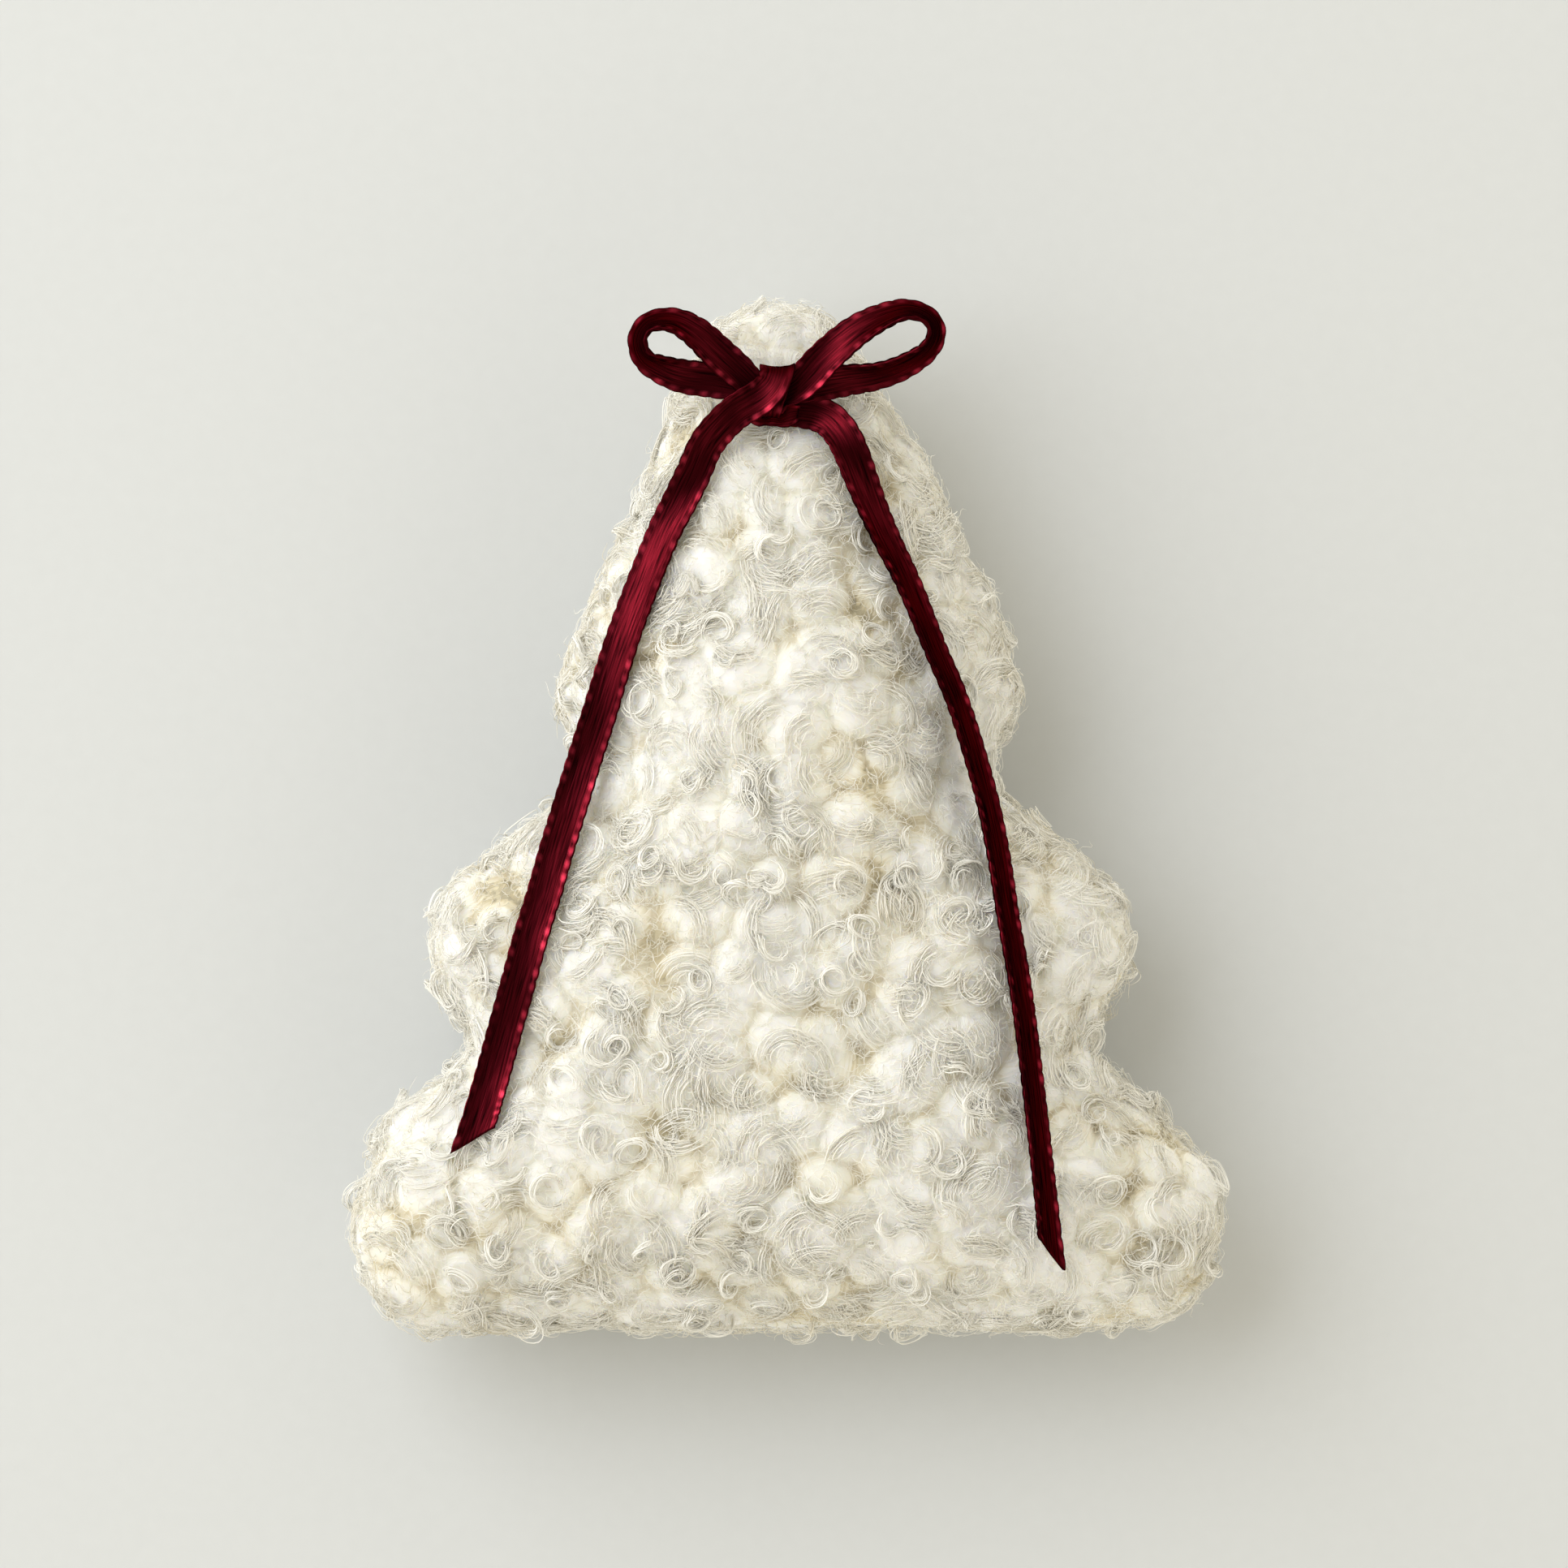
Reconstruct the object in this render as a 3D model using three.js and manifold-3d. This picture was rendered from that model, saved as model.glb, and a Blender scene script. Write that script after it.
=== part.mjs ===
// A small stuffed fabric Christmas tree, lying on its back, with a narrow ribbon bow tacked to its neck.
// Millimetres, +Z up out of the tree's front, +Y towards its tip, origin at the middle of the resting face.
import * as THREE from 'three';
import { mergeVertices } from 'three/addons/utils/BufferGeometryUtils.js';
import Module from 'manifold-3d';

// Outline of the sewn body, seen from the front: a line drawn taut round these discs.
// A negative radius is a notch, which the line passes on the side of the body.
const FOOT_RIGHT = { x: 29.2, y: -35.8, r: 10 };
const LOW_NOTCH_RIGHT = { x: 28.4, y: -19.9, r: -1.8 };
const BRANCH_RIGHT = { x: 21.8, y: -11.2, r: 9.1 };
const HIGH_NOTCH_RIGHT = { x: 19.9, y: 3.9, r: -2 };
const TOP_BRANCH_RIGHT = { x: 13.2, y: 11.8, r: 7.5 };
const SHOULDER_RIGHT = { x: 0.4, y: 25, r: 13.6 };
const TREE_TIP = { x: -1.5, y: 38, r: 7.8 };
const TOP_BRANCH_LEFT = { x: -16, y: 10.4, r: 5.3 };
const HIGH_NOTCH_LEFT = { x: -20.6, y: 4.2, r: -2 };
const BRANCH_LEFT = { x: -23.6, y: -11.5, r: 9 };
const LOW_NOTCH_LEFT = { x: -30.4, y: -20, r: -1.8 };
const HIP_LEFT = { x: -30.4, y: -31.6, r: 7.8 };
const FOOT_LEFT = { x: -31.2, y: -37.8, r: 8 };

// Stuffed form: how far each side swells from the seam, and how far in from the edge it is fully round.
const FRONT_CROWN = 13.5;
const BACK_CROWN = 11;
const SWELL_DEPTH = 19;
const REST_FLAT = 0.5;
const NECK_DIMPLE_DEPTH = 2;
const NECK_DIMPLE_RADIUS = 5;

// Clumps of the curly pile on the front: their distance apart, how far their points stray from straight rows,
// how far the gaps between them sink, how far they keep off the rim, and how far round the bow they lie flat.
const CLUMP_SPACING = 7.6;
const CLUMP_STRAY = 0.7;
const CLUMP_DEPTH = 1.6;
const CLUMP_RIM_GAP = 1.2;
const CLUMP_FREE_RADIUS = 10;

// Line under the crown from which the swell fans out, measured in from the body's bottom and top edges.
const SPINE_FROM_BOTTOM = 16;
const SPINE_FROM_TOP = 12;

// Cloth, seam and filling.
const CLOTH_WALL = 2.2;
const ALLOWANCE_THICKNESS = 1;
const SEAM_ALLOWANCE = 3;
const SEAM_GAP = 0.3;
const FILLING_GAP = 0.4;
const FILLING_SINK = 1.2;
const STITCH_INSET = 1.8;
const THREAD_DIAMETER = 0.4;
const THREAD_GAP = 0.3;
const TURNING_GAP = 30;
const LADDER_PITCH = 4;
const LADDER_SWAY = 0.5;

// Ribbon and bow.
const RIBBON_WIDTH = 3;
const RIBBON_THICKNESS = 0.4;
const KNOT_X = -1.3;
const KNOT_Y = 37.2;
const KNOT_HEIGHT = 4.2;
const KNOT_DEPTH = 3;
const KNOT_CORNER = 1;
const KNOT_SEAT_GAP = 0.3;
const LOOP_GAP = 0.2;
const TACK_THREAD_DIAMETER = 0.5;
const TACK_SPAN = 1.8;
const TACK_CORNER = 0.5;
const TAIL_SLANT_LEFT = 3.4;
const TAIL_SLANT_RIGHT = 4.2;

// Loops of the bow: [x, y, z from the knot's mouth, lean in degrees, width share].
// The lean stands the ribbon on its outer edge; the share is how far the knot has gathered it.
const LOOP_LEFT = [
  [0, 0.1, 0.3, 0, 0.6],
  [-0.5, 0.2, 0.35, 2, 0.65],
  [-1.6, 1.4, 0.6, 8, 0.85],
  [-3.3, 3.3, 0.9, 18, 1],
  [-5.4, 5.2, 1.2, 34, 1],
  [-7.4, 6.2, 1.3, 50, 1],
  [-9.1, 6, 1.2, 60, 1],
  [-9.9, 4.7, 1, 62, 1],
  [-9.5, 3.1, 0.7, 58, 1],
  [-8.1, 2, 0.3, 40, 1],
  [-6.2, 1.4, -0.1, 20, 1],
  [-4, 1.1, -0.4, 8, 0.95],
  [-1.6, 0.6, -0.45, 2, 0.8],
  [-0.5, 0.2, -0.35, 0, 0.65],
  [0, 0.1, -0.3, 0, 0.6],
];
const LOOP_RIGHT = [
  [0, 0.1, 0.3, 0, 0.6],
  [0.5, 0.2, 0.35, 2, 0.65],
  [1.6, 1.4, 0.6, 5, 0.85],
  [2.9, 3.1, 0.9, 12, 1],
  [5.2, 5.2, 1.3, 30, 1],
  [7.6, 6.5, 1.5, 46, 1],
  [9.7, 7.1, 1.6, 58, 1],
  [11.5, 6.6, 1.5, 64, 1],
  [12.2, 5.3, 1.3, 64, 1],
  [11.5, 3.7, 0.9, 60, 1],
  [9.4, 2.3, 0.4, 52, 1],
  [7.1, 1.5, 0, 46, 1],
  [4.3, 1.1, -0.3, 32, 0.95],
  [1.6, 0.6, -0.45, 8, 0.8],
  [0.5, 0.2, -0.35, 0, 0.65],
  [0, 0.1, -0.3, 0, 0.6],
];

// Tails, laid over the front: [x, y, height above the table, lean in degrees, width share].
const TAIL_LEFT = [
  [-3.3, 35, 22, 6, 0.8],
  [-4.6, 34.7, 22, 6, 0.9],
  [-6, 34, 21.7, 8, 1],
  [-7.2, 32.9, 21.2, 10, 1],
  [-8.4, 31, 20.8, 12, 1],
  [-9.4, 28.4, 20.6, 14, 1],
  [-11.1, 25.2, 20.5, 14, 1],
  [-12.7, 21.1, 20.5, 14, 1],
  [-14.3, 16.9, 20.5, 14, 1],
  [-15.6, 13, 20.5, 14, 1],
  [-16.8, 9.1, 20.4, 14, 1],
  [-18.1, 5.1, 20.4, 14, 1],
  [-19.3, 1.2, 20.5, 14, 1],
  [-20.5, -2.7, 20.8, 14, 1],
  [-21.6, -6.6, 21.3, 14, 1],
  [-22.8, -10.5, 21.6, 14, 1],
  [-23.9, -14.5, 21.5, 14, 1],
  [-25, -18.4, 21.1, 14, 1],
  [-26.1, -22.4, 20.9, 14, 1],
  [-27, -25.5, 21.1, 14, 1],
  [-27.9, -28.1, 21.3, 14, 1],
];
const TAIL_RIGHT = [
  [1.1, 34.9, 19.9, -20, 0.8],
  [2.3, 34.5, 20, -22, 0.9],
  [3.9, 33.8, 20, -26, 1],
  [5.4, 32.6, 20.1, -30, 1],
  [6.4, 30.7, 20.4, -34, 1],
  [7.1, 28.1, 21, -36, 1],
  [8.2, 25.4, 21.2, -38, 1],
  [10, 20.6, 21.5, -40, 1],
  [12.5, 14.8, 21.5, -40, 1],
  [14.6, 9.8, 21.2, -40, 1],
  [16.8, 2.6, 21.2, -40, 1],
  [18, -3, 21.6, -38, 1],
  [18.9, -8.8, 22.6, -36, 1],
  [20, -15.2, 22.7, -34, 1],
  [21, -23, 22.5, -32, 1],
  [21.9, -30.9, 23.2, -30, 1],
  [22.4, -35.5, 23, -30, 1],
  [22.7, -38.2, 22.3, -30, 1],
];

// Fineness of the faces.
const ARC_STEP = THREE.MathUtils.degToRad(30);
const LINE_STEP = 9;
const OUTER_RINGS = [0.95, 0.66, 0.42, 0.24, 0.11, 0.03];
const RIM_RINGS = OUTER_RINGS.slice(-2);
const INNER_RINGS = [0.04, 0.12, 0.28, 0.55, 0.93];
const THREAD_SIDES = 6;
const CORNER_STEPS = 4;
const RIBBON_STEPS = 3;
const NEAR_ZERO = 1e-3;
const FAR_OFF = 1e4;
const GOLDEN_ANGLE = Math.PI * (3 - Math.sqrt(5));

const wasm = await Module();
wasm.setup();

const discs = [
  FOOT_RIGHT, LOW_NOTCH_RIGHT, BRANCH_RIGHT, HIGH_NOTCH_RIGHT, TOP_BRANCH_RIGHT, SHOULDER_RIGHT, TREE_TIP,
  TOP_BRANCH_LEFT, HIGH_NOTCH_LEFT, BRANCH_LEFT, LOW_NOTCH_LEFT, HIP_LEFT, FOOT_LEFT,
];

// The taut line's left-hand normal between two discs, walking anticlockwise round the body.
function tangentNormal(a, b) {
  const run = new THREE.Vector2(b.x - a.x, b.y - a.y);
  const turn = run.angle() + Math.acos((b.r - a.r) / run.length());
  return new THREE.Vector2(Math.cos(turn), Math.sin(turn));
}

// Where the line meets each disc and how far it turns there. A disc that the taut line doesn't reach would
// turn it more than half way round, and leaves no mark.
function tautTurns(list) {
  const normals = list.map((disc, i) => tangentNormal(disc, list[(i + 1) % list.length]));
  const turns = list.map((disc, i) => {
    const start = normals.at(i - 1).angle();
    const way = Math.sign(disc.r);
    const sweep = THREE.MathUtils.euclideanModulo((normals[i].angle() - start) * way, 2 * Math.PI);
    return { disc, start, way, sweep, leaving: normals[i] };
  });
  const slack = turns.find((turn) => turn.sweep > Math.PI);
  return slack ? tautTurns(list.filter((disc) => disc !== slack.disc)) : turns;
}

// Points round the outline, each with its inward normal.
function traceOutline() {
  const stations = [];
  const turns = tautTurns(discs);
  turns.forEach(({ disc, start, way, sweep, leaving }, i) => {
    const steps = Math.max(1, Math.ceil(sweep / ARC_STEP));
    for (let k = 0; k <= steps; k++) {
      const angle = start + (way * sweep * k) / steps;
      const inward = new THREE.Vector2(Math.cos(angle), Math.sin(angle));
      const point = new THREE.Vector2(disc.x, disc.y).addScaledVector(inward, -disc.r);
      stations.push({ point, inward, disc, straight: false });
    }
    const next = turns[(i + 1) % turns.length].disc;
    const from = stations.at(-1).point;
    const to = new THREE.Vector2(next.x, next.y).addScaledVector(leaving, -next.r);
    const pieces = Math.ceil(from.distanceTo(to) / LINE_STEP);
    for (let k = 1; k < pieces; k++) {
      const point = from.clone().lerp(to, k / pieces);
      stations.push({ point, inward: leaving, disc, straight: true });
    }
  });
  return stations;
}

const outline = traceOutline();
const extent = new THREE.Box2().setFromPoints(outline.map((station) => station.point));
const seamHeight = BACK_CROWN - REST_FLAT;
const threadRadius = THREAD_DIAMETER / 2;
const stitchHalfGap = threadRadius + THREAD_GAP;
const channelEdge = STITCH_INSET - LADDER_SWAY - stitchHalfGap;
const allowanceTop = stitchHalfGap + ALLOWANCE_THICKNESS;

function insetPoint(station, inset) {
  return station.point.clone().addScaledVector(station.inward, inset);
}

// Smoothed distance from a point of the plan to the edge of a layer inside the cloth's face:
// the plain distance close to the edge, without creases further in.
function edgeDistance(point, layer) {
  const edge = outline.map((station) => insetPoint(station, layer));
  let pull = 0;
  edge.forEach((a, i) => {
    const b = edge[(i + 1) % edge.length];
    const along = b.clone().sub(a);
    const length = along.length();
    along.divideScalar(length);
    const offset = point.clone().sub(a);
    const s = offset.dot(along);
    const away = Math.max(Math.abs(offset.cross(along)), NEAR_ZERO);
    const rest = length - s;
    pull += (rest / Math.hypot(rest, away) + s / Math.hypot(s, away)) / away ** 2;
  });
  return Math.sqrt(2 / pull);
}

// Height of a swelling side above the seam, on a layer that lies so far inside the cloth's face.
function swell(point, crown, layer) {
  const share = Math.min(edgeDistance(point, layer) / (SWELL_DEPTH - layer), 1);
  return (crown - layer) * Math.sqrt(1 - (1 - share) ** 2);
}

function frontHeight(point, layer) {
  const away = Math.hypot(point.x - KNOT_X, point.y - KNOT_Y) / NECK_DIMPLE_RADIUS;
  return swell(point, FRONT_CROWN, layer) - NECK_DIMPLE_DEPTH * Math.exp(-away * away);
}

function backHeight(point, layer) {
  return Math.min(swell(point, BACK_CROWN, layer), seamHeight - layer);
}

// The spine's point that faces an outline point.
function spinePoint(point) {
  const share = (point.y - extent.min.y) / (extent.max.y - extent.min.y);
  const y = THREE.MathUtils.lerp(extent.min.y + SPINE_FROM_BOTTOM, extent.max.y - SPINE_FROM_TOP, share);
  return new THREE.Vector2((extent.min.x + extent.max.x) / 2, y);
}

// A level ring round the body, so far in from the outline.
function levelRing(inset, z) {
  return outline.map((station) => {
    const p = insetPoint(station, inset);
    return new THREE.Vector3(p.x, p.y, z);
  });
}

// A ring on a swelling layer, a share of the way from the layer's edge to the spine, or so far under it.
function swellRing(share, layer, least, height, side, under = 0) {
  return outline.map((station) => {
    const p = insetPoint(station, layer).lerp(spinePoint(station.point), share);
    return new THREE.Vector3(p.x, p.y, side * Math.max(height(p, layer) - under, least));
  });
}

// Whether a point of the plan lies inside a ring, and outside the round about each of the ring's edges.
function clearInside(ring, p) {
  let turn = 0;
  for (let i = 0; i < ring.length; i++) {
    const a = ring[i].clone().sub(p);
    const b = ring[(i + 1) % ring.length].clone().sub(p);
    if (a.dot(b) < CLUMP_RIM_GAP ** 2) return false;
    turn += Math.atan2(a.cross(b), a.dot(b));
  }
  return turn > Math.PI;
}

// Whether a point lies in the circle through three others that run anticlockwise.
function circleHolds(corners, p) {
  const rows = corners.map((q) => [q.x - p.x, q.y - p.y, q.distanceToSquared(p)]);
  return new THREE.Matrix3().set(...rows.flat()).determinant() > 0;
}

// The most even triangles between scattered points, of which the first ones form a ring round the rest.
// A triangle on three points of the ring lies inside it where its corners follow one another the ring's way.
function scatterFaces(points, ringCount) {
  const count = points.length;
  const wide = [[-FAR_OFF, -FAR_OFF], [FAR_OFF, -FAR_OFF], [0, FAR_OFF]];
  const all = [...points, ...wide.map(([x, y]) => new THREE.Vector2(x, y))];
  let faces = [[count, count + 1, count + 2]];
  points.forEach((p, i) => {
    const open = new Map();
    faces = faces.filter((face) => {
      if (!circleHolds(face.map((k) => all[k]), p)) return true;
      face.forEach((a, k) => {
        const b = face[(k + 1) % 3];
        if (!open.delete(`${b} ${a}`)) open.set(`${a} ${b}`, [a, b, i]);
      });
      return false;
    });
    faces.push(...open.values());
  });
  return faces.filter(([a, b, c]) => {
    const highest = Math.max(a, b, c);
    const ringsWay = (a < b && b < c) || (b < c && c < a) || (c < a && a < b);
    return highest < count && (highest >= ringCount || ringsWay);
  });
}

// The front's face inside a ring: points in staggered rows, which stand up in clumps or sink between them.
function clumpFace(ring) {
  const rim = ring.map((p) => new THREE.Vector2(p.x, p.y));
  const step = CLUMP_SPACING / 2;
  const rise = step * Math.sin(Math.PI / 3);
  const plan = [];
  const points = [];
  for (let row = 0; extent.min.y + row * rise < extent.max.y; row++) {
    for (let k = 0; extent.min.x + k * step < extent.max.x; k++) {
      const p = new THREE.Vector2(extent.min.x + (k + (row % 2) / 2) * step, extent.min.y + row * rise);
      const heading = GOLDEN_ANGLE * (row * row + k);
      p.add(new THREE.Vector2(Math.cos(heading), Math.sin(heading)).multiplyScalar(CLUMP_STRAY));
      if (!clearInside(rim, p)) continue;
      const fromBow = Math.hypot(p.x - KNOT_X, p.y - KNOT_Y) / CLUMP_FREE_RADIUS;
      const sink = CLUMP_DEPTH * (0.5 + Math.cos(heading) / 2) * (1 - Math.exp(-fromBow * fromBow));
      plan.push(p);
      points.push(new THREE.Vector3(p.x, p.y, frontHeight(p, 0) - sink));
    }
  }
  return { points, faces: scatterFaces([...rim, ...plan], rim.length) };
}

function fanCap(ring) {
  return ring.slice(2).map((_, i) => [0, i + 1, i + 2]);
}

// Closes a slim ring round the spine by joining its right and left flanks step by step.
function zipCap(ring) {
  const count = ring.length;
  const heights = ring.map((p) => p.y);
  const low = heights.indexOf(Math.min(...heights));
  const high = heights.indexOf(Math.max(...heights));
  const right = [];
  const left = [];
  for (let i = low; i !== high; i = (i + 1) % count) right.push(i);
  right.push(high);
  for (let i = (low + count - 1) % count; i !== high; i = (i + count - 1) % count) left.push(i);
  const faces = [];
  let r = 0;
  let l = 0;
  while (r < right.length - 1 || l < left.length - 1) {
    const leftDone = l === left.length - 1;
    const rightDone = r === right.length - 1;
    if (leftDone || (!rightDone && ring[right[r + 1]].y <= ring[left[l + 1]].y)) {
      faces.push([right[r], right[r + 1], left[l]]);
      r += 1;
    } else {
      faces.push([right[r], left[l + 1], left[l]]);
      l += 1;
    }
  }
  return faces;
}

function geometryFrom(points, faces) {
  let volume = 0;
  for (const [a, b, c] of faces) volume += points[a].dot(points[b].clone().cross(points[c]));
  const outward = volume > 0 ? faces : faces.map(([a, b, c]) => [a, c, b]);
  const geometry = new THREE.BufferGeometry().setFromPoints(points);
  geometry.setIndex(outward.flat());
  geometry.computeVertexNormals();
  return geometry;
}

// Joins rings of equal count into one closed body, capped at both ends or joined end to end. A face with
// points of its own may take the place of the first cap.
function loft(rings, cap, endless = false, face = null) {
  const count = rings[0].length;
  const faces = [];
  const spans = endless ? rings.length : rings.length - 1;
  for (let r = 0; r < spans; r++) {
    const here = r * count;
    const next = ((r + 1) % rings.length) * count;
    for (let i = 0; i < count; i++) {
      const j = (i + 1) % count;
      faces.push([here + i, here + j, next + j], [here + i, next + j, next + i]);
    }
  }
  if (!endless) {
    const last = (rings.length - 1) * count;
    const first = face ? face.faces : cap(rings[0]);
    const inPlace = (i) => (i < count ? i : i + last);
    faces.push(...first.map(([a, b, c]) => [inPlace(c), inPlace(b), inPlace(a)]));
    faces.push(...cap(rings.at(-1)).map((corners) => corners.map((i) => i + last)));
  }
  return geometryFrom([...rings.flat(), ...(face ? face.points : [])], faces);
}

function manifoldFrom(geometry) {
  const bare = geometry.clone();
  bare.deleteAttribute('normal');
  bare.deleteAttribute('uv');
  const merged = mergeVertices(bare);
  const vertProperties = new Float32Array(merged.attributes.position.array);
  const triVerts = new Uint32Array(merged.index.array);
  return new wasm.Manifold(new wasm.Mesh({ numProp: 3, vertProperties, triVerts }));
}

function cutAway(geometry, tool) {
  const mesh = manifoldFrom(geometry).subtract(manifoldFrom(tool)).getMesh();
  const cut = new THREE.BufferGeometry();
  cut.setAttribute('position', new THREE.Float32BufferAttribute(mesh.vertProperties, 3));
  cut.setIndex(Array.from(mesh.triVerts));
  cut.computeVertexNormals();
  return cut;
}

// One cloth panel: its swelling face, the edge turned in at the seam, and the inside of the cloth.
function panelGeometry(height, side, shares, coverWith = () => null) {
  const edge = SEAM_GAP / 2;
  const outer = shares.map((share) => swellRing(share, 0, edge, height, side));
  return loft([
    ...outer,
    levelRing(0, side * edge),
    levelRing(channelEdge, side * stitchHalfGap),
    levelRing(SEAM_ALLOWANCE, side * stitchHalfGap),
    levelRing(SEAM_ALLOWANCE, side * allowanceTop),
    levelRing(CLOTH_WALL, side * allowanceTop),
    ...INNER_RINGS.map((share) => swellRing(share, CLOTH_WALL, allowanceTop, height, side)),
  ], zipCap, false, coverWith(outer[0]));
}

// The filling takes up the room inside the cloth and steps in round the turned edges.
function fillingGeometry() {
  const step = allowanceTop + FILLING_GAP;
  const waist = SEAM_ALLOWANCE + FILLING_GAP;
  const shares = INNER_RINGS.slice(1);
  const ring = (share, height, side) => swellRing(share, CLOTH_WALL, step, height, side, FILLING_SINK);
  return loft([
    ...shares.toReversed().map((share) => ring(share, frontHeight, 1)),
    levelRing(waist, step),
    levelRing(waist, -step),
    ...shares.map((share) => ring(share, backHeight, -1)),
  ], zipCap);
}

// A round thread along a route of points.
function threadGeometry(route, radius, endless = false) {
  const rings = route.map((p, i) => {
    const before = route[endless ? (i + route.length - 1) % route.length : Math.max(i - 1, 0)];
    const after = route[endless ? (i + 1) % route.length : Math.min(i + 1, route.length - 1)];
    const along = after.clone().sub(before).normalize();
    const across = new THREE.Vector3(1, 0, 0);
    if (Math.abs(along.x) > NEAR_ZERO || Math.abs(along.z) < NEAR_ZERO) across.set(0, 0, 1);
    const side = across.addScaledVector(along, -across.dot(along)).normalize();
    const up = along.clone().cross(side);
    return Array.from({ length: THREAD_SIDES }, (_, k) => {
      const angle = (2 * Math.PI * k) / THREAD_SIDES;
      const spoke = side.clone().multiplyScalar(Math.cos(angle)).addScaledVector(up, Math.sin(angle));
      return p.clone().addScaledVector(spoke, radius);
    });
  });
  return loft(rings, fanCap, endless);
}

// The bottom edge between the feet, where the body was turned right side out and closed by hand.
const turningMiddle = (extent.min.x + extent.max.x) / 2;
const footStart = insetPoint(outline[0], STITCH_INSET);
const footEnd = insetPoint(outline.findLast((station) => !station.straight), STITCH_INSET);

function bottomPoint(x, sway) {
  const share = (x - footEnd.x) / (footStart.x - footEnd.x);
  return new THREE.Vector3(x, THREE.MathUtils.lerp(footEnd.y, footStart.y, share) + sway, 0);
}

// Machine stitching round the body, from one end of the turning gap to the other.
function seamThreadGeometry() {
  const reach = TURNING_GAP / 2 + THREAD_GAP;
  const sewn = outline.filter((station) => station.disc !== FOOT_LEFT || !station.straight);
  const route = sewn.map((station) => {
    const p = insetPoint(station, STITCH_INSET);
    return new THREE.Vector3(p.x, p.y, 0);
  });
  return threadGeometry(
    [bottomPoint(turningMiddle + reach, 0), ...route, bottomPoint(turningMiddle - reach, 0)], threadRadius);
}

// Ladder stitches sway from one turned edge to the other across the closed gap.
function closingThreadGeometry() {
  const rungs = Math.floor(TURNING_GAP / LADDER_PITCH) * 4;
  const reach = TURNING_GAP / 2 - threadRadius;
  const route = Array.from({ length: rungs + 1 }, (_, i) => {
    const x = turningMiddle + THREE.MathUtils.lerp(-reach, reach, i / rungs);
    return bottomPoint(x, LADDER_SWAY * Math.sin((Math.PI * i) / 2));
  });
  return threadGeometry(route, threadRadius);
}

// A flat ribbon through points of [x, y, z, lean, width share]. The lean raises the edge on the bend's
// inner side; slant cuts the far end off at an angle.
function ribbonGeometry(list, bendSide, slant = 0) {
  const points = list.map(([x, y, z]) => new THREE.Vector3(x, y, z));
  const curve = new THREE.CatmullRomCurve3(points, false, 'centripetal');
  const steps = (list.length - 1) * RIBBON_STEPS;
  const rings = [];
  for (let i = 0; i <= steps; i++) {
    const t = i / steps;
    const place = t * (list.length - 1);
    const span = Math.min(Math.floor(place), list.length - 2);
    const mix = (column) => THREE.MathUtils.lerp(list[span][column], list[span + 1][column], place - span);
    const lean = THREE.MathUtils.degToRad(mix(3));
    const half = (RIBBON_WIDTH / 2) * mix(4);
    const along = curve.getTangent(t);
    const inward = new THREE.Vector3(-along.y, along.x, 0).multiplyScalar(bendSide).normalize();
    const across = inward.multiplyScalar(Math.cos(lean));
    across.z = Math.sin(lean);
    across.addScaledVector(along, -across.dot(along)).normalize();
    const face = along.clone().cross(across).multiplyScalar(RIBBON_THICKNESS / 2);
    const skew = i === steps ? along.clone().multiplyScalar(slant / 2) : new THREE.Vector3();
    const centre = curve.getPoint(t);
    const inner = centre.clone().addScaledVector(across, half).add(skew);
    const outer = centre.clone().addScaledVector(across, -half).sub(skew);
    rings.push([
      inner.clone().add(face), outer.clone().add(face), outer.clone().sub(face), inner.clone().sub(face),
    ]);
  }
  return loft(rings, fanCap);
}

const knotFootprint = [-1, 0, 1].flatMap((i) => [-1, 0, 1].map((j) => new THREE.Vector2(
  KNOT_X + (i * RIBBON_WIDTH) / 2, KNOT_Y + (j * KNOT_HEIGHT) / 2)));
const knotFloor = Math.max(...knotFootprint.map((p) => frontHeight(p, 0))) + KNOT_SEAT_GAP;
const knotCentre = new THREE.Vector3(KNOT_X, KNOT_Y, knotFloor + KNOT_DEPTH / 2);
const tackRadius = TACK_THREAD_DIAMETER / 2;
const tackBelow = frontHeight(new THREE.Vector2(KNOT_X, KNOT_Y), CLOTH_WALL) - tackRadius - THREAD_GAP;
const tackAbove = knotFloor + RIBBON_THICKNESS + tackRadius + THREAD_GAP;

// A closed route round a rectangle with rounded corners, standing across the knot.
function tackRoute() {
  const route = [];
  const halfSpan = TACK_SPAN / 2 - TACK_CORNER;
  const corners = [
    [halfSpan, tackAbove - TACK_CORNER, 0],
    [-halfSpan, tackAbove - TACK_CORNER, 1],
    [-halfSpan, tackBelow + TACK_CORNER, 2],
    [halfSpan, tackBelow + TACK_CORNER, 3],
  ];
  for (const [y, z, quarter] of corners) {
    for (let k = 0; k <= CORNER_STEPS; k++) {
      const angle = (Math.PI / 2) * (quarter + k / CORNER_STEPS);
      route.push(new THREE.Vector3(
        KNOT_X, KNOT_Y + y + TACK_CORNER * Math.cos(angle), z + TACK_CORNER * Math.sin(angle)));
    }
  }
  return route;
}

function roundedOutline(path, width, height, corner) {
  const x = width / 2 - corner;
  const y = height / 2 - corner;
  path.absarc(x, y, corner, 0, Math.PI / 2);
  path.absarc(-x, y, corner, Math.PI / 2, Math.PI);
  path.absarc(-x, -y, corner, Math.PI, 1.5 * Math.PI);
  path.absarc(x, -y, corner, 1.5 * Math.PI, 2 * Math.PI);
  path.closePath();
  return path;
}

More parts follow.
